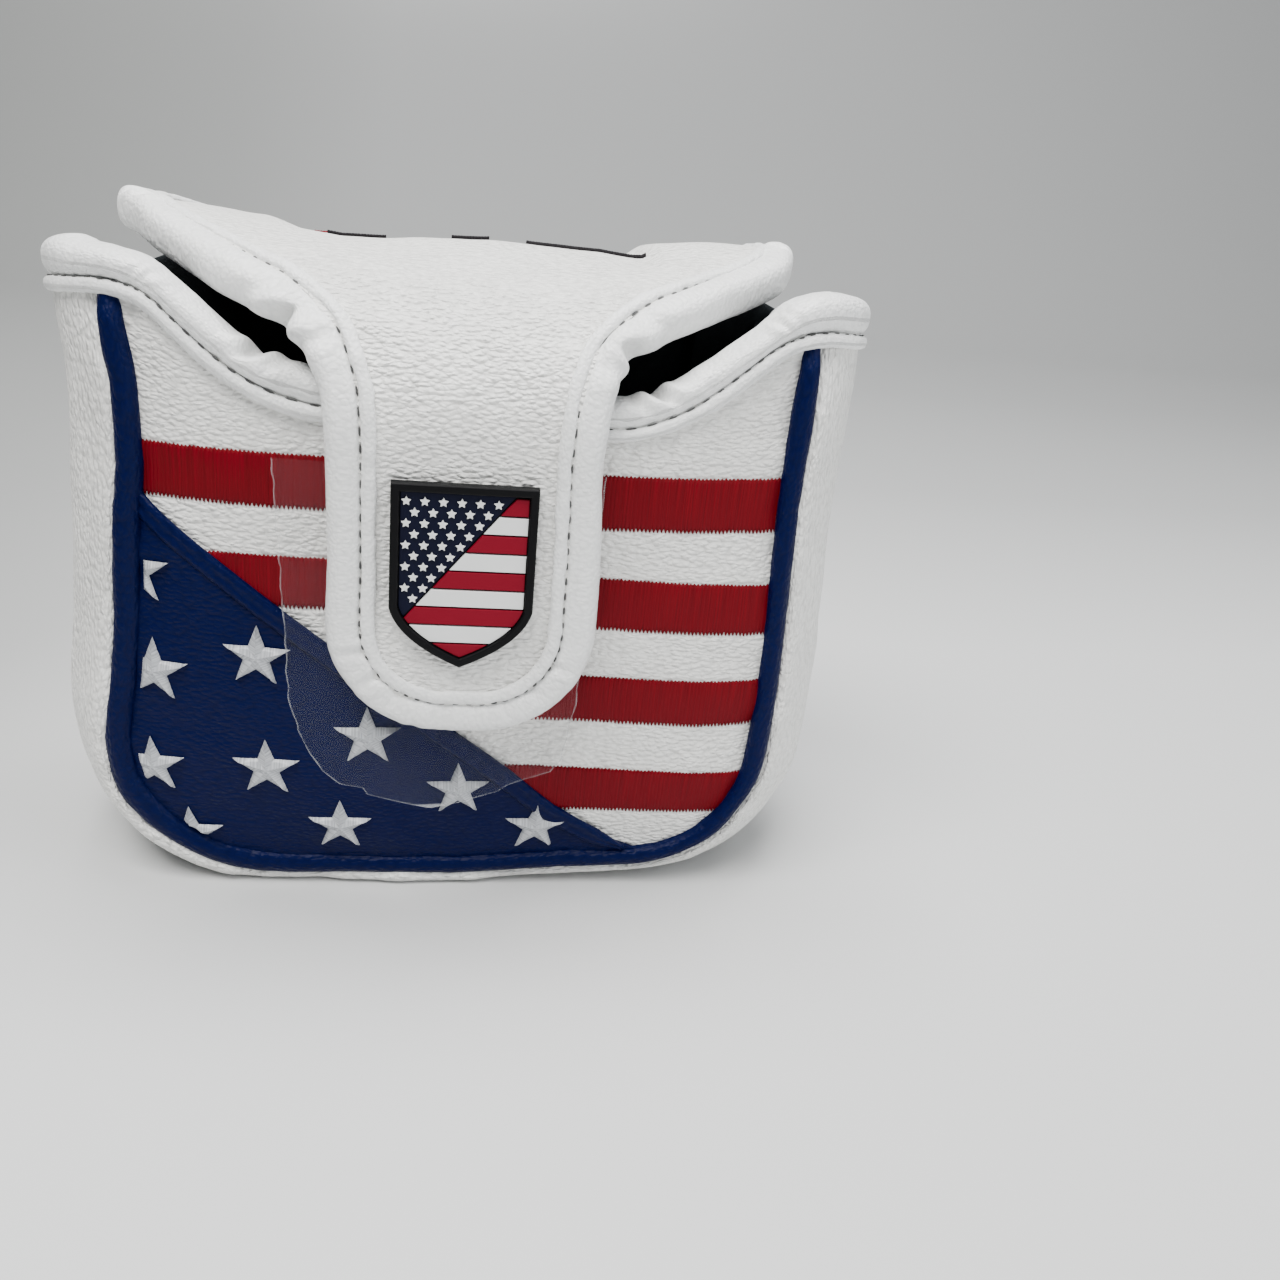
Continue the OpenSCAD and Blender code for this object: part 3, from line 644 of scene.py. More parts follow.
def foam():
    g = Graph("foam", (0.22, 0.22, 0.24), 0.9)
    where = g.node("ShaderNodeTexCoord").outputs["Object"]
    cells = g.node("ShaderNodeTexVoronoi", Vector=where, Scale=900.0)
    g.bump(cells.outputs["Distance"], 0.0003, 0.7)
    # The pits of the cells are painted darker: painted shade in the foam's pores.
    g.color(g.ramp(cells.outputs["Distance"], (0.1, (0.10, 0.10, 0.11)), (0.7, (0.26, 0.26, 0.28))))
    return g.mat


def nickel():
    g = Graph("magnet_steel", (0.62, 0.61, 0.60), 0.22, Metallic=1.0)
    wear = g.noise(g.node("ShaderNodeTexCoord").outputs["Object"], 400.0, 3.0)
    g.rough(g.math("MULTIPLY_ADD", wear, 0.2, 0.14))
    return g.mat


def rubber(name, color, rough, shine):
    g = Graph(name, color, rough, Specular_IOR_Level=shine)
    fine = g.noise(g.stretch(1, 1), 40.0, 3.0, 0.6)
    wide = g.noise(g.stretch(1, 1), 3.0, 2.0)
    g.bump(fine, 0.00003, 0.5)
    g.color(g.mixcolor(g.math("MULTIPLY", wide, 0.35), color, tuple(c * 0.8 for c in color)))
    g.rough(g.math("MULTIPLY_ADD", fine, 0.2, rough - 0.1))
    return g.mat


def stitch_thread():
    # The thread is painted dark grey as painted shade of the sunken stitches, and darker still in the
    # grooves of its twist.
    g = Graph("stitch_thread", (0.10, 0.10, 0.10), 0.6, Specular_IOR_Level=0.2)
    twist = g.node("ShaderNodeTexWave", Vector=g.stretch(1, 1, 0.7), Scale=6.0, Distortion=0.5)
    g.bump(twist.outputs["Fac"], 0.00008, 0.8)
    g.color(g.mixcolor(twist.outputs["Fac"], (0.07, 0.07, 0.07), (0.16, 0.16, 0.16)))
    return g.mat


def clear_film():
    """u is the distance from the film's torn edge, in cm."""
    g = Graph("clear_film", (0.80, 0.82, 0.85), 0.2, Specular_IOR_Level=0.45)
    ripple = g.noise(g.stretch(1, 1), 3.0, 2.0)
    g.bump(ripple, 0.0008, 0.2)
    u = g.node("ShaderNodeSeparateXYZ", Vector=g.uv).outputs["X"]
    edge = g.ramp(g.math("MULTIPLY_ADD", ripple, 0.04, u), (0.014, 0.24), (0.045, 0.0))
    g.tree.links.new(g.math("ADD", edge, 0.010), g.bsdf.inputs["Alpha"])
    return g.mat


PLUSH, FOAM, NICKEL, STITCH, FILM = plush(), foam(), nickel(), stitch_thread(), clear_film()
BADGE_BLACK = rubber("badge_black", (0.0018, 0.0018, 0.0025), 0.5, 0.12)
BADGE_NAVY = rubber("badge_navy", (0.002, 0.003, 0.016), 0.5, 0.12)
BADGE_RED = rubber("badge_red", (0.19, 0.0015, 0.014), 0.5, 0.12)
BADGE_WHITE = rubber("badge_white", (0.80, 0.81, 0.80), 0.5, 0.4)


# -------------------------------------------------------------------- pouch
def wall_grid(e, top, nx, nz):
    """x and z over a panel inset e from the seam, up to the line top(x)."""
    r, z0 = CORNER_R - e, SEAM_Z + e
    nc = nz // 4
    phi = np.linspace(0, np.pi / 2, nc, endpoint=False)
    low = z0 + r * (1 - np.cos(phi))
    t = np.r_[np.zeros(nc), np.linspace(0, 1, nz - nc)][:, None]
    zc = np.r_[low, np.full(nz - nc, z0 + r)][:, None]
    u = np.linspace(-1, 1, nx)[None]
    u = np.sin(u * np.pi / 2) * 0.35 + u * 0.65
    edge_z = zc + t * (top(SEAM_W) - zc)
    x = u * seam_x(edge_z, e)
    z = zc + t * (top(x) - zc)
    return x, z


def mouth_drop(x, height):
    slope = mouth_z(x + 0.5) - mouth_z(x - 0.5)
    return mouth_z(x) - height * np.sqrt(1 + slope**2)


def mouth_grid(e, below, nx, nz):
    """wall_grid of the front up to a line that runs below the mouth's edge."""
    return wall_grid(e, lambda x: mouth_drop(x, below), nx, nz)


def front_layers():
    """The leathercloth, foam and lining of the pouch's front."""
    x, z = mouth_grid(1.2, 4.5, 230, 200)
    outer, inner = front_pt(x, z), front_pt(x, z, -SKIN, 0.0)
    thin = outer + [-1e9, 0.7, -1e9]        # the skin is at least 0.7 thick where it's pressed in
    panel = sheet("front_panel_leather", outer, np.maximum(inner, thin), WHITE)
    attach(panel, "pouch", ["front_panel"], "white_leathercloth", 0.6)
    x, z = mouth_grid(2.0, 5.0, 60, 60)
    outer, inner = front_pt(x, z, -SKIN - FOAM_GAP, 0.0), front_pt(x, z, -FOAM_END, 0.0)
    pad = sheet("front_foam_padding", outer, inner, FOAM)
    attach(pad, "pouch", ["front_foam"], "foam", 0.7)
    fluff = 0.35 * noise(x / 3, z / 3, 0, 91)
    inner = front_pt(x, z, -WALL_T, 0.0) + stack(0 * x, fluff, 0 * x)
    lining = sheet("front_lining_plush", front_pt(x, z, LINING_T - WALL_T, 0.0), inner, PLUSH)
    attach(lining, "pouch", ["front_lining"], "plush_lining")


def band_grid(off, nu_side, nth, relief=False):
    """The side band from the top left, round under the floor, to the top right, and its UVs."""
    th = np.linspace(0, np.pi, nth)
    th = th - 0.22 * np.sin(2 * th)
    y = (SEAM_Y - BAND_INSET - off) * spow(np.cos(th), BAND_POWER)
    out = (PUFF - off) * spow(np.sin(th), BAND_POWER)
    w = float(mid_w(25)) - CORNER_R
    t = np.linspace(1, 0, nu_side)[:, None]
    z = ROUND_Z + t * (mouth_side(y) - 4.6 - ROUND_Z)
    phi = np.linspace(np.pi / 2, 0, nu_side // 2)[1:, None]
    corner = stack(w + (CORNER_R + out) * np.sin(phi), y, ROUND_Z - (CORNER_R + out) * np.cos(phi))
    half = np.concatenate([stack(mid_w(z) + out, y, z), corner])
    floor_x = np.linspace(1, -1, nu_side // 2)[1:-1, None] * w
    floor = stack(floor_x, y, SEAM_Z - out + 0 * floor_x)
    if off < SKIN + 1:
        swell = 3.3 * bump(out - 3.0, 3.4) * np.sign(y)
        half[..., 1] += swell * np.clip((103 - half[..., 2]) / 12, 0, 1)
        floor[..., 1] += swell
    P = np.concatenate([half, floor, (half * [-1, 1, 1])[::-1]])[::-1]
    u = lengths(P[:, nth // 2])[:, None]
    v = lengths(stack(y, out))[None]
    if relief:
        N = grid_normals(P)
        if N[nu_side // 2, nth // 2, 0] > 0:
            N = -N
        edge = np.minimum(v, v[0, -1] - v)
        D = (noise(u / 4.6, edge / 14, 0, 41) * np.exp(-edge / 5) * 0.5
             + noise(u / 22, v / 9, 0, 42) * 0.5 + noise(u / 7, v / 5, 0, 43) * 0.16
             - 0.4 * bump(edge, 3))
        folds = bump(u - np.clip(u, 8, u.max() - 8), 9) * noise(v / 3.1, u / 30, 0, 44) * 0.35
        P = P + N * (D + folds)[..., None]
    z = P[..., 2]
    rounded = off + 0.6 * np.log1p(np.exp(np.clip((z - off) / 0.6, -30, 30)))
    P[..., 2] = np.where(z < off + 1.2, rounded, z)     # flat where it stands on the floor
    return P, stack(u, v) / 10


CORNER_LOW = 82
CORNER_TOP = [42, 43.5, 45.5, 48, 52, 58], [94, 98.5, 101.5, 102.9, 103.1, 100.5]


def side_band():
    """The gusset's leathercloth, foam and lining, and the lining of the mouth's back corners."""
    for name, near, far, size, mat, node, slot, fill in (
            ("leather", 0.0, SKIN, (150, 90), WHITE, "gusset", "white_leathercloth", 0.7),
            ("foam", SKIN + FOAM_GAP, FOAM_END, (60, 40), FOAM, "gusset_foam", "foam", 0.7),
            ("lining", WALL_T - LINING_T, WALL_T, (40, 30), PLUSH, "gusset_lining", "plush_lining", None)):
        A, uv = band_grid(near, *size, mat is WHITE)
        B, _ = band_grid(far, *size)
        attach(sheet("side_band_" + name, A, B, mat, uv), "pouch", [node], slot, fill)
    for side, name in ((-1, "left"), (1, "right")):
        x = np.linspace(42, 57.5, 26)[None]
        z = CORNER_LOW + np.linspace(0, 1, 24)[:, None] * (np.interp(x, *CORNER_TOP) - CORNER_LOW)
        x = side * x + 0 * z
        fluff = 0.4 * noise(x / 5, z / 9, 0, 93)
        y = SEAM_Y - WALL_T - 1.1 + puffed(x, np.minimum(z, HINGE_Z), BELLY_B) + fluff
        corner = sheet(f"{name}_corner_lining", stack(x, y, z), stack(x, y + 1.6, z), PLUSH)
        attach(corner, "pouch", ["gusset_lining"], "plush_lining")


def seam_path(top):
    """Seam line from the top left, round the bottom, to the top right."""
    w = float(mid_w(25))
    z = np.linspace(top, ROUND_Z, 60)
    a = np.linspace(np.pi / 2, 0, 40)[1:]
    left = np.stack([-mid_w(z), z], -1)
    corner = np.stack([-w + CORNER_R * (1 - np.sin(a)), ROUND_Z - CORNER_R * np.cos(a)], -1)
    half = np.concatenate([left, corner])
    pts = np.concatenate([half, (half * [-1, 1])[::-1]])
    pts, t = resample(pts, 520)
    return soften(pts, 6), t


PIPING_R, PIPING_THIN = 1.9, 0.45       # radius of the piping, and how much thinner its ends are


def piping(name, y, top, node):
    """A piping cord along a seam at depth y, tucked in where it ends at height top."""
    pts, t = seam_path(top)
    tan = unit(np.gradient(pts, axis=0))
    out = stack(tan[:, 1], -tan[:, 0])
    g, t, z_up = turns(20)[None], t[:, None], pts[:, 1:]
    r = (PIPING_R - PIPING_THIN * ease((z_up - top + 12) / 12)
         + 0.10 * round_noise(t, g, 9, 1.5, 51) + 0.07 * round_noise(t, g, 2.2, 2, 52))
    broad = 1 + 0.2 * ease(-pts[:, :1] / 40) * (y < 0)      # wider on the left of the front
    away = 0.2 * noise(t / 16, 0 * t, 0, 53) + r * broad * np.cos(g)
    X = pts[:, :1] + away * out[:, :1]
    Z = np.maximum(z_up + away * out[:, 1:], 0.5)
    tuck = 1.3 * ease((z_up - top + 5) / 4) * -np.sign(y)
    cord = roll(name, stack(X, y + tuck + r * np.sin(g), Z), NAVY)
    attach(cord, "pouch", [node], "navy_leathercloth")


def mouth_path():
    """The mouth's edge from the back left, along the front, to the back right."""
    th = np.radians(np.linspace(17, 164, 70))
    y = (SEAM_Y - BAND_INSET) * spow(np.cos(th), BAND_POWER)
    side = stack(-(float(mid_w(95)) + PUFF * spow(np.sin(th), BAND_POWER)), y, mouth_side(y))
    x = np.linspace(-51.5, 51.5, 160)
    front = front_pt(x, mouth_z(x), 0, 0.0)
    pts, t = resample(np.concatenate([side, front, (side * [-1, 1, 1])[::-1]]), 620)
    return soften(pts, 7), t


def mouth_frame():
    """Points of the mouth's edge with their ways out (H) and up (U), and their distances along it."""
    P, t = mouth_path()
    T = unit(np.gradient(P, axis=0))
    H = unit(stack(T[:, 1], -T[:, 0], 0 * t))
    if H[len(H) // 2, 1] > 0:
        H = -H
    U = np.cross(H, T)
    return P, H, U * np.sign(U[:, 2:3]), t


def ring_grid(P, H, U, out, up, a, b, m, power, swell):
    """Rings of m points round a path: half-width a, half-height b, moved by out and up."""
    g = turns(m)[None]
    out, up, a, b = (np.reshape(v, (-1, 1)) for v in (out, up, a, b))
    k = 1 + swell(g)
    across, high = out + a * spow(np.cos(g), power) * k, up + b * spow(np.sin(g), power) * k
    return P[:, None] + H[:, None] * across[..., None] + U[:, None] * high[..., None]


THIN_X = [-62, -58, -53, -50, -47, -40, -33, -30, -27, -24, 24, 28, 34, 37, 41, 44, 47, 49.5, 52, 57]
THIN = [0, 1.2, 1.7, 1.7, 2.0, 2.0, 2.2, 2.0, 1.6, 1.4, 1.3, 1.8, 2.0, 2.4, 2.6, 2.6, 1.8, 0.8, 0.3, 0]


ROLL_M = 48                             # points round each rolled binding
MOUTH_OUT, MOUTH_UP = -2.6, -3.0        # middle of the mouth's roll, from the mouth's edge
MOUTH_A, MOUTH_B = 3.9, 3.15            # its half-width and half-height
WELT_OUT, WELT_UP, WELT_R = 0.30, -7.0, 1.15
SEAM_OUT, SEAM_UP = 0.62, -5.85         # the stitches between the roll and the welt
MOUTH_CREASES = ((-31.5, 1.2, 0.9, 75), (-28.0, 0.4, 0.8, 60), (28.6, 1.5, 0.8, 75), (25.6, 0.5, 0.8, 45),
                 (-45.5, 0.5, 0.7, 40), (-47.5, 0.4, 0.6, 20), (46.5, 0.6, 0.7, 45), (48.5, 0.4, 0.6, 30))


def mouth_notch(x, front):
    """Creases (x, depth, width, angle) where the roll buckles at the mouth's bends, outwards and up."""
    deg = np.degrees(turns(ROLL_M))[None]
    out, up = np.zeros((2, len(x), ROLL_M))
    for x0, deep, wide, at in MOUTH_CREASES:
        skew = x[:, None] - x0 + np.sign(x0) * (deg - at) / 60
        dent = deep * crease(skew, wide, deg, at, (0.45, 2.2, 1.1), 62) * front[:, None]
        out += dent * math.cos(math.radians(at))
        up += dent * math.sin(math.radians(at))
    return out[..., None], up[..., None]


def mouth_binding():
    """The rolled binding of the mouth, the welt cord under it and their stitches."""
    P, H, U, t = mouth_frame()
    x, along = P[:, 0], t[:, None]
    front = P[:, 1] < -20
    bends = np.where(front, bump(np.abs(x) - 30, 6) + 0.8 * bump(np.abs(x) - 49, 6), 0.5)[:, None]

    def swell(g):
        creases = round_noise(along, g, 1.9, 0.9, 61) * 0.060 * bends
        return creases + round_noise(along, g, 9, 1, 62) * 0.035

    def wrinkle(g):
        return round_noise(along, g, 2.3, 1, 63) * 0.10 * (0.4 + bends)

    thin = np.interp(x, THIN_X, THIN) * ease((-8 - P[:, 1]) / 10)
    R = ring_grid(P, H, U, MOUTH_OUT, MOUTH_UP - thin / 2, MOUTH_A, MOUTH_B - thin / 2,
                  ROLL_M, 0.8, swell)
    out, up = mouth_notch(x, front)
    R = R + H[:, None] * out + U[:, None] * up
    ends = ease(np.minimum(t, t[-1] - t) / 5.0)
    centre = R.mean(1, keepdims=True)
    R = centre + (R - centre) * (0.55 + 0.45 * ends)[:, None, None]
    attach(roll("mouth_binding_roll", R, WHITE_FINE), "pouch", ["mouth_binding"], "white_leathercloth", 0.8)
    W = ring_grid(P, H, U, WELT_OUT, WELT_UP, WELT_R, WELT_R, 16, 0.9, wrinkle)
    attach(roll("mouth_welt_cord", W, WHITE_FINE), "pouch", ["mouth_welt"], "white_leathercloth")
    stitches = dashes("mouth_stitches", P + H * SEAM_OUT + U * SEAM_UP, H, t)
    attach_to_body(stitches, "pouch")


STITCH_PITCH, STITCH_L, STITCH_R = 2.6, 1.3, 0.165


def dashes(name, S, N, t, slumped=True):
    """Thread dashes along the path S, N being the way out of the surface."""
    verts, uvs, faces = [], [], []
    m, rings = 8, 6
    count = int(t[-1] // STITCH_PITCH)
    rng = np.random.default_rng(len(name))
    start = (t[-1] - count * STITCH_PITCH) / 2
    g, q = turns(m), np.linspace(-1, 1, rings)
    r = STITCH_R * np.sqrt(np.clip(1 - q**4, 0.05, 1))[:, None, None]
    for k in range(count):
        a = start + k * STITCH_PITCH + rng.uniform(-0.1, 0.1)
        s = np.linspace(a, a + STITCH_L * rng.uniform(0.9, 1.08), rings)
        c = np.stack([np.interp(s, t, S[:, i]) for i in range(3)], -1)
        n = unit(np.stack([np.interp(s, t, N[:, i]) for i in range(3)], -1))
        b = np.cross(unit(np.gradient(c, axis=0)), n)[:, None]
        c = c + n * (0.08 * (1 - q**2) - 0.06)[:, None]
        n = n[:, None]
        ring = c[:, None] + r * (np.cos(g)[None, :, None] * n + np.sin(g)[None, :, None] * b)
        verts.append(ring.reshape(-1, 3))
        uvs.append(stack(s[:, None], g[None]).reshape(-1, 2) / 10)
        idx = np.arange(rings * m).reshape(rings, m) + k * rings * m
        nxt = np.roll(idx, -1, 1)
        faces.append(quads(idx[:-1], nxt[:-1], nxt[1:], idx[1:]))
        ends = [[0, 1, 2, 3], [0, 3, 4, 5], [0, 5, 6, 7]]
        faces += [idx[0][ends][:, ::-1], idx[-1][ends]]
    verts = np.concatenate(verts)
    obj = make_object(name, verts, outward(verts, [np.concatenate(faces)]), np.concatenate(uvs), STITCH,
                      slumped=slumped)
    return obj


# ------------------------------------------------------------- front design
def field_rows(e, n):
    nc = n // 3
    low = SEAM_Z + e + (CORNER_R - e) * (1 - np.cos(np.linspace(0, np.pi / 2, nc, endpoint=False)))
    return np.r_[low, np.linspace(ROUND_Z, 69.8, n - nc)]


FIELD_INSET, FIELD_T = 1.4, 0.75        # the star field's inset from the seam, and its thickness
HEM_W, HEM_IN, HEM_T = 1.75, 1.6, 0.62  # the hem's half-width, its middle from the edge, its base


def star_field():
    """The navy leathercloth of the lower left corner."""
    z = field_rows(FIELD_INSET, 150)[:, None]
    left, right = -seam_x(z, FIELD_INSET), np.minimum(field_x(z) - 0.3, seam_x(z, FIELD_INSET))
    x = left + np.linspace(0, 1, 170)[None] * (right - left)
    z = z + 0 * x
    near = np.exp(-np.abs(field_x(z) - x) / 5)
    relief = (0.12 * noise(x / 5, z / 4, 0, 71) + 0.22 * noise((x + z * 0.8) / 7, (x - z) / 26, 0, 72)
              + near * 0.30 * noise((x - z) / 3.2, (x + z) / 12, 0, 73))
    obj = sheet("star_field_leather", front_pt(x, z, FIELD_T + relief), front_pt(x, z, 0.05), NAVY)
    attach(obj, "pouch", ["star_field"], "navy_leathercloth")


def field_hem():
    """The flat hem along the slanted edge of the star field, with its sewn groove."""
    z = np.linspace(73.0, 6.0, 260)
    path, t = resample(np.stack([field_x(z) - HEM_IN, z], -1), 300)
    inset = np.where(path[:, 0] < 0, 0.7, 1.7)
    keep = (np.abs(path[:, 0]) < seam_x(path[:, 1], inset)) & (path[:, 1] > SEAM_Z + 2.4)
    path, t = path[keep], t[keep]
    d = unit(np.gradient(path, axis=0))
    n = soften(stack(-d[:, 1], d[:, 0]), 6)
    g = turns(28)
    across = HEM_W * spow(np.cos(g), 0.85)
    high = np.where(np.sin(g) > 0, 0.95, 0.35) * spow(np.sin(g), 0.7)
    high = high - 0.34 * bump(across + 0.1, 0.42) * (np.sin(g) > 0)
    wav = 0.10 * noise(t[:, None] / 3.0, across[None], 0, 74)
    wide = (0.3 + 0.7 * ease((t[-1] - t) / 7))[:, None] * across[None]      # it narrows at its lower end
    R = front_pt(path[:, :1] + wide * n[:, :1], path[:, 1:] + wide * n[:, 1:],
                 HEM_T + high[None] + wav * (high[None] > 0))
    attach(roll("star_field_hem", R, NAVY), "pouch", ["field_hem"], "navy_leathercloth")


STARS = [(-51.9, 59.4), (-49.8, 42.4), (-50.9, 24.3), (-33.0, 46.4), (-31.9, 25.3),
         (-19.7, 13.4), (-15.0, 32.3), (0.6, 21.7), (14.7, 13.4), (-45.3, 10.3)]
STAR_R, STAR_DENT, STAR_N = 5.75, 0.40, 14      # radius, share of it at the dents, points along an arm


def before_slump(x, z):
    """Where a point of the front has to start to end up at x, z once slumped."""
    x0, z0 = x.copy(), z.copy()
    for _ in range(5):
        S = slump(np.stack([x0, 0 * x0 - 27, z0], -1))
        x0, z0 = x0 + x - S[..., 0], z0 + z - S[..., 2]
    return x0, z0


def field_stars():
    """Each star is ten facets of satin stitch that rise to a ridge along its arms."""
    verts, uvs, tris = [], [], []
    n = STAR_N
    ij = [(i, j) for i in range(n + 1) for j in range(n + 1 - i)]
    index = {key: i for i, key in enumerate(ij)}
    a, b = np.array(ij).T / n       # shares of the way to the tip and to the dent
    rim = 1 - a - b
    edge = np.minimum(rim * 5, 1.0)
    ridge = 1 - np.clip(b / np.maximum(1 - a, 1e-6), 0, 1)
    rise = 0.05 + 0.42 * np.sqrt(np.clip(edge, 0, 1)) + 0.62 * edge * ridge
    facet = [((i, j), (i + 1, j), (i, j + 1)) for i, j in ij if i + j < n]
    facet += [((i + 1, j), (i + 1, j + 1), (i, j + 1)) for i, j in ij if i + j < n - 1]
    facet = np.array([[index[key] for key in corners] for corners in facet])
    rng = np.random.default_rng(5)
    for star in STARS:
        C = np.array(star)
        turn = math.radians(90 + rng.uniform(-3, 3))
        size = STAR_R * rng.uniform(0.97, 1.03)
        for k in range(10):
            at, ad = turn + (k + 1) // 2 * 2 * math.pi / 5, turn + (k // 2 * 2 + 1) * math.pi / 5
            tip = size * np.array([math.cos(at), math.sin(at)])
            dent = STAR_DENT * size * np.array([math.cos(ad), math.sin(ad)])
            p = a[:, None] * tip + b[:, None] * dent
            jag = (rim < 0.02) * rng.uniform(-0.12, 0.12, len(p))
            qx, qz = before_slump(*(C + p * (1 + jag[:, None] * 0.12)).T)
            hidden = np.abs(qx) - seam_x(np.maximum(qz, SEAM_Z + 3.4), 2.9)     # under the piping
            hidden = np.maximum(hidden, SEAM_Z + 3.4 - qz)
            height = rise * ease(-hidden / 0.4) - 1.2 * ease(hidden / 0.5)
            d = unit(dent - tip)
            tris.append(facet + len(verts) * len(ij))
            verts.append(front_pt(qx, qz, 0.80 + height))
            uvs.append(stack(p @ d + 40 * k, p @ np.array([-d[1], d[0]])) / 10)
    verts, tris = np.concatenate(verts), np.concatenate(tris)
    n0 = np.cross(verts[tris[:, 1]] - verts[tris[:, 0]], verts[tris[:, 2]] - verts[tris[:, 0]])
    tris = np.where(n0[:, 1:2] > 0, tris[:, ::-1], tris)[np.linalg.norm(n0, axis=1) > 1e-7]
    obj = make_object("embroidered_stars", verts, [tris], np.concatenate(uvs), SILVER_THREAD)
    attach(obj, "pouch", ["field_stars"], "silver_thread")


def satin(name, grids, uvs, mat, outside, slumped=True):
    """One object from grids of stitched points, its faces turned to the side outside."""
    faces, base = [], 0
    for P in grids:
        idx = base + np.arange(P.shape[0] * P.shape[1]).reshape(P.shape[:2])
        f = quads(idx[:-1, :-1], idx[1:, :-1], idx[1:, 1:], idx[:-1, 1:])
        width = np.linalg.norm(np.diff(P, axis=1), axis=-1)
        faces.append(f[((width[:-1] > 0.02) | (width[1:] > 0.02)).ravel()])
        base += idx.size
    verts, faces = np.concatenate([P.reshape(-1, 3) for P in grids]), np.concatenate(faces)
    a, b, c = (verts[faces[:, k]] for k in (0, 1, 2))
    if (np.cross(b - a, c - a) @ outside).sum() < 0:
        faces = faces[:, ::-1]
    uv = np.concatenate([u.reshape(-1, 2) for u in uvs]) / 10
    return make_object(name, verts, [faces], uv, mat, slumped=slumped)


STRIPE_PITCH, STRIPE_INSET = 0.165, 1.5
TEETH = [0, 1, 2, 3, 4], [-0.16, 0.16, 0.20, -0.10, -0.16]      # ends of four neighbouring threads
STRIPE_V = np.array([0, 0.03, 0.10, 0.3, 0.5, 0.7, 0.90, 0.97, 1.0])[:, None]
STRIPE_RISE = np.array([-0.35, 0.30, 0.50, 0.56, 0.58, 0.56, 0.50, 0.30, -0.35])[:, None]


def stripes(name, node, front):
    """Satin-stitch bars whose threads end unevenly along the top and bottom."""
    grids, uvs = [], []
    rng = np.random.default_rng(9 if front else 19)
    for i in range(STRIPES):
        top = STRIPE_TOP - 2 * i * STRIPE_H
        w = float(seam_x(top, STRIPE_INSET))
        cols = np.arange(-w, w, STRIPE_PITCH)
        n = len(cols)
        count = np.arange(n) % 4
        saw = np.interp(count, *TEETH)
        wave = 0.12 * noise(cols / 12, 0 * cols, 0, 82 + i)
        each = np.repeat(rng.uniform(-0.07, 0.07, n // 4 + 1), 4)[:n]
        up = top + saw + each + wave
        down = top - STRIPE_H - 1.7 * saw - each[::-1] + wave
        z = down[None] + STRIPE_V * (up - down)[None]
        x = cols[None] + 0 * z
        z = z + stripe_shift(x, z) if front else z
        lim = seam_x(z, STRIPE_INSET)
        x = np.clip(x, -lim, lim)
        x = np.maximum(x, field_x(z) - 0.8) if front else x
        rib = np.where(count < 2, 0.014, -0.014)[None] * (STRIPE_RISE > 0)
        off = STRIPE_RISE + rib + 0.05 * noise(x / 2.5, z / 3, 0, 81)
        back_y = SEAM_Y + puffed(x, z, BELLY_B) + back_relief(x, z) + off
        grids.append(front_pt(x, z, off) if front else stack(x, back_y, z))
        uvs.append(stack(cols[None], z))
    outside = np.array([0, -1 if front else 1, 0])
    attach(satin(name, grids, uvs, RED_THREAD, outside), "pouch", [node], "red_thread")


FILM_LEFT = [(18.4, -4.4), (19.6, -9.5), (21.2, -15.0), (22.6, -15.8), (23.2, -19.4), (26, -22.4),
             (29, -24.6), (38.5, -27.8), (58, -28.6), (80.5, -29.8)]
FILM_RIGHT = [(18.4, -4.0), (19.6, 0.8), (20.6, 3.5), (22.2, 7.4), (23.3, 8.8), (24.2, 10.8), (25, 12.6),
              (26.4, 16.3), (29.5, 18.2), (40, 19.8), (58.7, 21.0), (80.5, 21.8)]


FILM_LOW, FILM_TOP = 18.4, 80.5


def protective_film():
    """The clear film on the front, with its torn lower edge."""
    z = np.r_[np.linspace(FILM_LOW + 0.05, 30, 60), np.linspace(30.4, FILM_TOP, 60)]
    left = np.interp(z, *zip(*FILM_LEFT)) + 0.25 * noise(z / 1.6, 0 * z, 0, 86)
    right = np.interp(z, *zip(*FILM_RIGHT)) + 0.25 * noise(z / 1.6, 0 * z, 0, 87)
    x = left[:, None] + np.linspace(0, 1, 140)[None] * (right - left)[:, None]
    x, z = before_slump(x, z[:, None] + 0 * x)
    lift = 0.10 + 0.12 * noise(x / 9, z / 9, 0, 88)
    y = -SEAM_Y - puffed(x, z, BELLY_F) - lift - 0.55 * front_relief(x, z)
    rim = np.concatenate([np.stack([x[:, k], z[:, k]], -1) for k in (0, -1)])
    gap = np.sqrt(((stack(x, z)[..., None, :] - rim) ** 2).sum(-1)).min(-1)
    gap = np.minimum(gap, np.where(z < 22, z - FILM_LOW + 0.1, 9))
    outer, inner = stack(x, y - 1.85, z), stack(x, y - 1.75, z)
    obj = sheet("clear_protective_film", outer, inner, FILM, stack(gap, z) / 10)
    attach(obj, "pouch", ["protective_film"], "clear_film")


# --------------------------------------------------------- crown and tongue
def flap_half(s, e):
    """Half-width of a flap layer that stops e short of the edge."""
    w = flap_w(s) - e * np.sqrt(1 + flap_slope(s) ** 2)
    t = ease((s + 10) / 9)
    return np.where(s < -1, seam_x(HINGE_Z + s, 1.2) * (1 - t) + w * t, w)


def crown_rows(n):
    z0, r = SEAM_Z + 1.2, CORNER_R - 1.2
    low = z0 + r * (1 - np.cos(np.linspace(0, np.pi / 2, n // 6, endpoint=False))) - HINGE_Z
    return np.r_[low, np.linspace(z0 + r - HINGE_Z, S_SPLIT, n - n // 6)]


def tongue_rows(e, n):
    r = TONGUE_R - e
    a = np.linspace(0, np.pi / 2, n // 3)
    straight = np.linspace(S_SPLIT, S_TIP - TONGUE_R, n - n // 3)[:-1]
    return np.r_[straight, S_TIP - TONGUE_R + r * np.sin(a)]


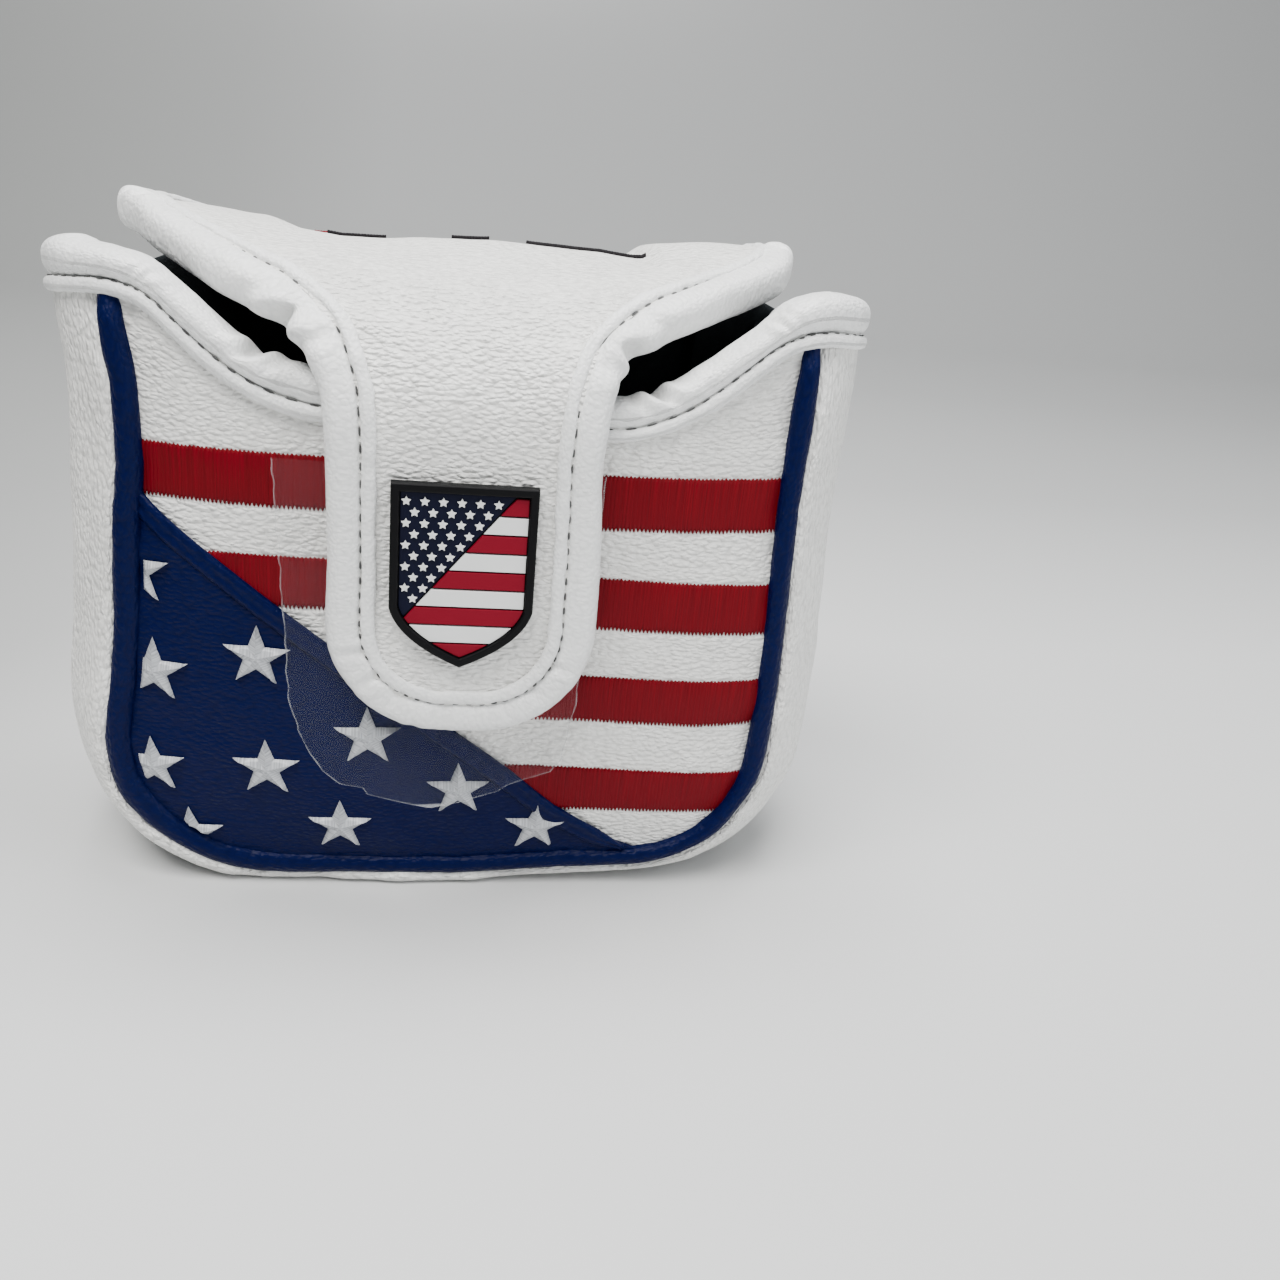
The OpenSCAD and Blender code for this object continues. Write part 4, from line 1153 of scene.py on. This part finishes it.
def flap_layer(name, outer, inner, e, nx, relief, mat, slot, crown_nodes, tongue_nodes, fill=None):
    """One layer of the flap as two pieces that meet at S_SPLIT without a step."""
    crown = crown_rows(int(nx * 1.5))
    cut = len(crown)
    s = np.r_[crown, tongue_rows(e, int(nx * 0.9))[1:]]
    half = np.where(s <= S_SPLIT, flap_half(s, e), tongue_half(s, e))
    if mat is PLUSH:
        half = half + (e - 1.2) * ease((16 - s) / 8)
    X = half[:, None] * np.linspace(-1, 1, nx)[None]
    S = s[:, None] + 0 * X
    A, B = flap_pt(S, X, -outer, relief, 1.0), flap_pt(S, X, -inner, 0.0, 1.0)
    N = grid_normals(A)
    if N[cut // 2, nx // 2, 1] < 0:
        N = -N
    uv = np.stack([X, S], -1) / 10
    for part, rows, nodes in (("crown", slice(0, cut), crown_nodes),
                              ("tongue", slice(cut - 1, None), tongue_nodes)):
        obj = sheet(f"{part}_{name}", A[rows], B[rows], mat, uv[rows], N[rows], slumped=False)
        attach(obj, f"{part}_bend", nodes, slot, fill)


FLAP_FOAM, FLAP_LINING = (1.35, 3.5), (3.6, 5.2)        # outer and inner depth of each layer
LEATHER_EDGE, FOAM_EDGE, LINING_EDGE = 4.6, 5.2, 4.9    # how far each stops short of the flap's edge


def flap_layers():
    flap_layer("leather", 0.0, SKIN, LEATHER_EDGE, 170, 1.0, WHITE, "white_leathercloth",
               ("crown_shell", "back_panel"), ("tongue_shell",), 0.5)
    flap_layer("padding", *FLAP_FOAM, FOAM_EDGE, 40, 0.0, FOAM, "foam",
               ("crown_foam", "back_foam"), ("tongue_foam",), 0.7)
    flap_layer("lining_plush", *FLAP_LINING, LINING_EDGE, 60, 0.0, PLUSH, "plush_lining",
               ("crown_lining", "back_lining"), ("tongue_lining",))


def flap_edges():
    """The flap's edge as points (s, x), the way in from each, and the distance along it."""
    s = np.linspace(-3.0, S_TIP - TONGUE_R, 420)
    a = np.linspace(0, np.pi / 2, 90)[1:]
    arc = np.stack([S_TIP - TONGUE_R + TONGUE_R * np.sin(a), -TONGUE_W + TONGUE_R * (1 - np.cos(a))], -1)
    flat = np.stack([np.full(8, S_TIP), np.linspace(-TONGUE_W + TONGUE_R, 0, 9)[1:]], -1)
    left = np.concatenate([stack(s, -flap_w(s)), arc, flat])
    pts, t = resample(np.concatenate([left, (left * [1, -1])[::-1][1:]]), 1200)
    pts = soften(pts, 5)
    d = unit(np.gradient(pts, axis=0))
    n = stack(d[:, 1], -d[:, 0])
    if n[100, 1] < 0:
        n = -n
    return pts, unit(soften(n, 14)), t


ROOT_CREASES = ((66.6, -1, 2.3, 1.1, 165), (63.4, -1, 0.5, 1.0, 120), (71.0, -1, 0.6, 1.1, 130),
                (68.8, 1, 2.6, 1.2, 165), (72.5, 1, 0.8, 1.2, 125), (65.0, 1, 0.6, 1.1, 120),
                (40.0, -1, 0.9, 0.7, 60), (37.5, -1, 0.7, 0.6, 90), (36.0, 1, 1.2, 0.7, 70),
                (39.5, 1, 1.0, 0.7, 50), (121.0, -1, 0.4, 0.9, 60), (127.0, -1, 0.5, 0.9, 50),
                (131.0, -1, 0.3, 0.8, 60), (123.0, 1, 0.4, 0.9, 60), (129.0, 1, 0.4, 0.9, 50))


def root_notch(s, x):
    """Creases (s, side, depth, width, angle) of the roll at its bends, inwards and up."""
    deg = np.degrees(turns(ROLL_M))[None]
    inward, up = np.zeros((2, len(s), ROLL_M))
    for s0, side, deep, wide, at in ROOT_CREASES:
        skew = s[:, None] - s0 + (deg - at) / 75
        dent = deep * crease(skew, wide, deg, at, (0.4, 2.3, 1.2), 58) * (np.sign(x)[:, None] == side)
        inward += dent * math.cos(math.radians(at))
        up += dent * math.sin(math.radians(at))
    return inward, up


def edge_roll(pts, n, inward, off, a, b, m, power, swell, dents=(0.0, 0.0)):
    """Rings of a roll along the flap's edge: half-width a, half-height b, moved by inward and off."""
    g = turns(m)[None]
    k = 1 + swell(g)
    inward, off, a, b = (np.reshape(v, (-1, 1)) for v in (inward, off, a, b))
    d = inward + a * spow(np.cos(g), power) * k + dents[0]
    o = off + b * spow(np.sin(g), power) * k + dents[1]
    return flap_pt(pts[:, :1] + d * n[:, :1], pts[:, 1:] + d * n[:, 1:], o)


FLAP_IN, FLAP_UP, FLAP_A, FLAP_B = 2.9, -2.5, 3.0, 3.3      # the roll's middle and its half-sizes
ROOT_S, WING_S = 69, 37                                     # s of the tongue's root and the wings' tips
FLAP_SEAM = [44, 49, 52, 56, 62], [4.3, 4.3, 4.5, 5.1, 5.4]
GIRTH = {"binding": 16.0, "welt": 6.0}                      # way round each roll, for its UVs


def bindings():
    """The flap's rolled binding, welt and stitches, each in three spans that meet at S_SPLIT."""
    pts, n, t = flap_edges()
    s, along = pts[:, 0], t[:, None]
    tip = ease((s - (S_TIP - TONGUE_R)) / 12)
    busy = np.clip(bump(s - ROOT_S, 7) + bump(s - WING_S, 7) * 0.7 + tip * 0.55 + 0.15, 0, 1.2)[:, None]

    def swell(g):
        fine = round_noise(along, g, 1.7, 0.8, 101) * 0.060 + round_noise(along, g, 0.9, 1.2, 103) * 0.018
        return fine * busy + round_noise(along, g, 10, 1, 102) * 0.03

    def wrinkle(g):
        return round_noise(along, g, 2.0, 1, 104) * 0.16

    hinge = ease((16 - s) / 8)      # the roll is slimmer behind the hinge
    seam = np.interp(s, *FLAP_SEAM)
    binding = edge_roll(pts, n, FLAP_IN - 0.9 * hinge, FLAP_UP + 1.4 * hinge, FLAP_A - 0.9 * hinge,
                        FLAP_B - 1.4 * hinge, ROLL_M, 0.74, swell, root_notch(s, pts[:, 1]))
    welt = edge_roll(pts, n, seam + 1.25, 0.18, 1.1, 0.74, 14, 0.85, wrinkle)
    seam_s, seam_x0 = (pts + seam[:, None] * n).T
    stitch = flap_pt(seam_s, seam_x0, 0.12)
    lift = flap_pt(seam_s, seam_x0, 1.12) - stitch
    first = int(np.argmax(s >= S_SPLIT))
    last = len(s) - 1 - first
    spans = (("crown_left", slice(0, first + 1)), ("tongue", slice(first, last + 1)),
             ("crown_right", slice(last, None)))
    for kind, grid in (("binding", binding), ("welt", welt)):
        N = grid_normals(np.concatenate([grid[:, -1:], grid, grid[:, :1]], 1))[:, 1:-1]
        centre = grid.mean(1, keepdims=True)
        if ((grid - centre) * N).sum() < 0:
            N = -N
        uv = stack(lengths(centre[:, 0])[:, None], np.linspace(0, GIRTH[kind], grid.shape[1])[None]) / 10
        for part, r in spans:
            body = part.split("_")[0]
            obj = roll(f"{part}_{kind}", grid[r], WHITE_FINE, uv[r], N[r], slumped=False)
            attach(obj, f"{body}_bend", [f"{body}_{kind}"], "white_leathercloth")
    for part, r in spans:
        obj = dashes(f"{part}_stitches", stitch[r], lift[r], t[r] - t[r][0], slumped=False)
        BENDS[part.split("_")[0] + "_bend"](obj)


BAR_PITCH = 0.24
BAR_V = np.array([0, 0.06, 0.2, 0.5, 0.8, 0.94, 1])[:, None]


def crown_embroidery():
    """Raised bars (s, s, x, x) of satin stitch across the crown's top, with black bars in front."""
    bars = [(8.5 + i * 5, 11.1 + i * 5, 8.8 - i * 3, 28.6 - 2.0 * i) for i in range(4)]
    bars += [(8.5, 13.5, -28, -11), (17.0, 20.5, -28, -16.2)]
    satin_bars("crown_top_embroidery", bars, 0.45, RED_THREAD)
    bars = [(35.4, 37.1, 8.4, 28.9), (35.9, 37.0, -4.0, 2.4), (36.0, 36.9, -24, -14.5)]
    satin_bars("crown_top_edging", bars, 0.6, BLACK_THREAD)


def satin_bars(name, bars, tall, mat):
    grids, uvs = [], []
    rng = np.random.default_rng(3)
    rise = np.array([-0.3, 0.5 * tall, 0.87 * tall, tall, 0.87 * tall, 0.5 * tall, -0.3])[:, None]
    for low, high, left, right in bars:
        cols = np.arange(left, right, BAR_PITCH)
        n = len(cols)
        odd = np.arange(n) % 2
        lo = low + np.where(odd, -0.2, 0.15) + rng.uniform(-0.12, 0.12, n)
        hi = high + np.where(odd, 0.2, -0.15) + rng.uniform(-0.12, 0.12, n)
        S = lo[None] + BAR_V * (hi - lo)[None]
        X = cols[None] + 0 * S
        grids.append(flap_pt(S, X, rise + np.where(odd, 0.04, -0.03)[None], 1.0, 1.0))
        uvs.append(stack(X, S))
    obj = satin(name, grids, uvs, mat, np.array([0, 0, 1]), slumped=False)
    attach(obj, "crown", ["crown_embroidery"], "red_thread")


# -------------------------------------------------------------------- badge
BADGE_W, BADGE_TOP, BADGE_SIDE, BADGE_TIP = 22.3, 80.3, 60.0, 50.2      # width, heights of corners
RIM, BADGE_X, BAR = 1.35, -0.25, 3.06
BADGE_SLOPE = 0.8137        # slant of the star ground's edge
STAR_ROWS = [6, 5, 5, 4, 4, 3, 3, 2, 2, 1]
BASE_TOP, GROUND_TOP, BAR_TOP, RIM_TOP, STAR_TOP = 0.95, 1.32, 1.5, 2.05, 1.68      # above the tongue


def shield(inset=0.0):
    """Outline of the badge, anticlockwise seen from the front, drawn in by inset."""
    t = np.linspace(0, 1, 15)[:, None]
    a, b = BADGE_W / 2, BADGE_W / 2 - 1.5
    right = (1 - t) ** 2 * [a, BADGE_SIDE] + 2 * t * (1 - t) * [b, BADGE_TIP + 4.2] + t**2 * [0, BADGE_TIP]
    top = np.array([[a, BADGE_TOP], [-a, BADGE_TOP]])
    P = np.concatenate([right[::-1], top, (right * [-1, 1])[:-1]])
    if inset:
        sides = P - np.roll(P, 1, axis=0), np.roll(P, -1, axis=0) - P
        n0, n1 = (unit(stack(-d[:, 1], d[:, 0])) for d in sides)
        m = unit(n0 + n1)
        P = P + m * (inset / np.clip((m * n0).sum(1, keepdims=True), 0.3, 1))
    return P


def clip(P, point, normal):
    """The part of a convex outline on the side of a line that normal points to."""
    out = []
    side = (P - np.array(point, float)) @ np.array(normal, float)
    for i in range(len(P)):
        j = (i + 1) % len(P)
        if side[i] >= 0:
            out.append(P[i])
        if side[i] * side[j] < 0:
            out.append(P[i] + (P[j] - P[i]) * side[i] / (side[i] - side[j]))
    return np.array(out)


def plate(name, outlines, lo, hi, bevel, mat, node):
    """Flat shapes standing on the tongue from height lo to hi, with rounded edges."""
    curve = bpy.data.curves.new(name, "CURVE")
    curve.dimensions, curve.fill_mode = "2D", "BOTH"
    curve.extrude = (hi - lo) / 2 * MM - bevel * MM
    curve.bevel_depth, curve.bevel_resolution, curve.offset = bevel * MM, 3, -bevel * MM
    for outline in outlines:
        spline = curve.splines.new("POLY")
        spline.points.add(len(outline) - 1)
        for p, (x, z) in zip(spline.points, outline):
            p.co = (x * MM, z * MM, 0, 1)
        spline.use_cyclic_u = True
    obj = link(name + "_curve", curve)
    bpy.context.view_layer.update()
    mesh = bpy.data.meshes.new_from_object(obj.evaluated_get(bpy.context.evaluated_depsgraph_get()))
    bpy.data.objects.remove(obj)
    mesh.name = name
    mesh.transform(Matrix.Translation((BADGE_X * MM, (FACE_Y - (lo + hi) / 2) * MM, 0))
                   @ Matrix.Rotation(math.pi / 2, 4, "X"))
    while mesh.uv_layers:
        mesh.uv_layers.remove(mesh.uv_layers[0])
    layer = mesh.uv_layers.new(name="UVMap")
    co = np.array([v.co for v in mesh.vertices])
    loops = np.zeros(len(mesh.loops), np.int32)
    mesh.loops.foreach_get("vertex_index", loops)
    layer.data.foreach_set("uv", (co[loops][:, [0, 2]] * 100).astype(np.float32).ravel())
    mesh.polygons.foreach_set("use_smooth", np.zeros(len(mesh.polygons), bool))
    mesh.materials.clear()
    mesh.materials.append(mat)
    attach(link(name, mesh), "tongue", [node], mat.name.split(".")[0])


def badge():
    """The moulded badge: rim, base plate, star ground, bars and small stars."""
    plate("badge_rim", [shield(), shield(RIM)[::-1]], 0.0, RIM_TOP, 0.35, BADGE_BLACK, "badge_base")
    plate("badge_plate", [shield(RIM - 0.4)], 0.0, BASE_TOP, 0.1, BADGE_BLACK, "badge_base")
    inner = shield(RIM + 0.12)
    top = BADGE_TOP - RIM
    slant = unit(np.array([BADGE_SLOPE, 1.0]))
    left = np.array([-slant[1], slant[0]])
    start = np.array([7.7, top])
    plate("badge_star_ground", [clip(inner, start, left)], 0.8, GROUND_TOP, 0.08, BADGE_NAVY, "badge_field")
    barred = clip(inner, start - left * 0.27, -left)
    for first, name, mat in ((0, "badge_red", BADGE_RED), (1, "badge_white", BADGE_WHITE)):
        bars = []
        for i in range(first, 9, 2):
            high = top - 0.4 - i * BAR
            bars.append(clip(clip(barred, (0, high), (0, -1)), (0, high - BAR + 0.3), (0, 1)))
        plate(name + "_bars", bars, 0.8, BAR_TOP, 0.12, mat, name)
    a = np.radians(90 + 36 * np.arange(10))
    star = np.where(np.arange(10) % 2 == 0, 0.77, 0.40)[:, None] * stack(np.cos(a), np.sin(a))
    stars = [star + [-8.8 + (j % 2) * 1.27 + i * 2.77, top - 1.5 - j * 1.76]
             for j, count in enumerate(STAR_ROWS) for i in range(count)]
    plate("badge_small_stars", stars, 1.2, STAR_TOP, 0.10, BADGE_WHITE, "badge_stars")


# ------------------------------------------------------------ CAD pieces kept
def keep_cad():
    for node in ("panel_magnets", "tongue_magnets"):
        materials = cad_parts[node].data.materials
        materials.clear()
        materials.append(NICKEL)


# ------------------------------------------------------------------- staging
def soft_light(name, at, size, power, color):
    """A rectangular lamp at a place, aimed at the middle of the object."""
    data = bpy.data.lights.new(name, "AREA")
    data.shape = "RECTANGLE"
    data.size, data.size_y = size
    data.energy = power
    data.color = color
    obj = link(name, data)
    obj.location = at
    obj.rotation_euler = (Vector((0, 0, 0.06)) - Vector(at)).to_track_quat("-Z", "Y").to_euler()


# The floor's darker colours towards the back and the left are painted shade, standing in for the light
# falling off there.
FLOOR_PALE, FLOOR_BACK_SHADE, FLOOR_LEFT_SHADE = (0.60, 0.605, 0.605), (0.37, 0.375, 0.375), (0.27, 0.275, 0.27)
COVE_Y, COVE_R, HALF_W, WALL_Z = 0.55, 0.35, 3.0, 3.0       # metres
SKY, SKY_POWER = (0.90, 0.93, 0.97, 1), 0.30
# name, place, size, watts and colour of each lamp
LAMPS = (("key", (-0.28, -0.42, 1.05), (0.7, 0.5), 20.0, (1.0, 0.99, 0.97)),
         ("fill", (0.75, -0.50, 0.45), (0.6, 0.6), 4.5, (0.96, 0.98, 1.0)),
         ("top", (0.05, 0.12, 0.9), (0.5, 0.35), 10.0, (1, 1, 1)))


def stage():
    """The pale floor that curves up into a wall and is painted darker towards the back and the left as
    painted shade, the three soft lamps and the sky light.
    """
    g = Graph("studio_floor", FLOOR_PALE, 0.35)
    where = g.node("ShaderNodeTexCoord").outputs["Object"]
    g.rough(g.math("MULTIPLY_ADD", g.noise(where, 3.0), 0.1, 0.3))
    at = g.node("ShaderNodeSeparateXYZ", Vector=where).outputs
    # The floor is painted darker up the wall and to the left: painted shade.
    left = g.math("MAXIMUM", g.math("MULTIPLY", at["X"], -1.0), 0.0)
    back = g.math("MULTIPLY_ADD", left, 1.6, at["Y"])
    shade = g.mixcolor(g.ramp(back, (0.09, 0.0), (0.24, 0.72), (0.42, 1.0)), FLOOR_PALE, FLOOR_BACK_SHADE)
    g.color(g.mixcolor(g.ramp(left, (0.06, 0.0), (0.16, 0.55), (0.36, 1.0)), shade, FLOOR_LEFT_SHADE))
    mesh = bpy.data.meshes.new("studio_floor")
    angles = np.linspace(0, math.pi / 2, 24)
    cove = [(COVE_Y + COVE_R * math.sin(a), COVE_R - COVE_R * math.cos(a)) for a in angles]
    section = [(-3.0, 0.0), (COVE_Y, 0.0), *cove, (COVE_Y + COVE_R, WALL_Z)]
    verts = [(x, y, z) for y, z in section for x in (-HALF_W, HALF_W)]
    faces = [(2 * i, 2 * i + 1, 2 * i + 3, 2 * i + 2) for i in range(len(section) - 1)]
    mesh.from_pydata(verts, [], faces)
    mesh.polygons.foreach_set("use_smooth", np.ones(len(faces), bool))
    mesh.materials.append(g.mat)
    floor = link("studio_floor", mesh)
    world = bpy.data.worlds.new("studio")
    world.use_nodes = True
    sky = world.node_tree.nodes["Background"].inputs
    sky["Color"].default_value, sky["Strength"].default_value = SKY, SKY_POWER
    bpy.context.scene.world = world
    for name, at, size, power, color in LAMPS:
        soft_light(name, at, size, power, color)


CAMERA_AT, SENSOR, LENS = (-1.93, -222.88, 138.67), 36.0, 35.84         # all in mm
CAMERA_YAW, CAMERA_PITCH, CAMERA_ROLL = 9.31, -23.74, 5.92              # degrees


def camera():
    yaw, pitch, tilt = (math.radians(v) for v in (CAMERA_YAW, CAMERA_PITCH, CAMERA_ROLL))
    ahead = Vector((math.sin(yaw) * math.cos(pitch), math.cos(yaw) * math.cos(pitch), math.sin(pitch)))
    right = Vector((math.cos(yaw), -math.sin(yaw), 0))
    up = right.cross(ahead)
    x = math.cos(tilt) * right + math.sin(tilt) * up
    y = -math.sin(tilt) * right + math.cos(tilt) * up
    data = bpy.data.cameras.new("camera")
    data.sensor_width, data.lens, data.clip_start = SENSOR, LENS, 0.01
    obj = link("camera", data)
    m = Matrix((x, y, -ahead)).transposed().to_4x4()
    m.translation = Vector(CAMERA_AT) * MM
    obj.matrix_world = m
    bpy.context.scene.camera = obj


camera()
stage()
front_layers()
side_band()
piping("front_piping_cord", -SEAM_Y - 0.2, MOUTH_H - 6.8, "front_piping")
piping("back_piping_cord", SEAM_Y + 0.4, HINGE_Z - 1.5, "back_piping")
mouth_binding()
star_field()
field_hem()
field_stars()
stripes("front_embroidered_stripes", "front_stripes", True)
stripes("back_embroidered_stripes", "back_stripes", False)
protective_film()
flap_layers()
bindings()
crown_embroidery()
badge()
keep_cad()
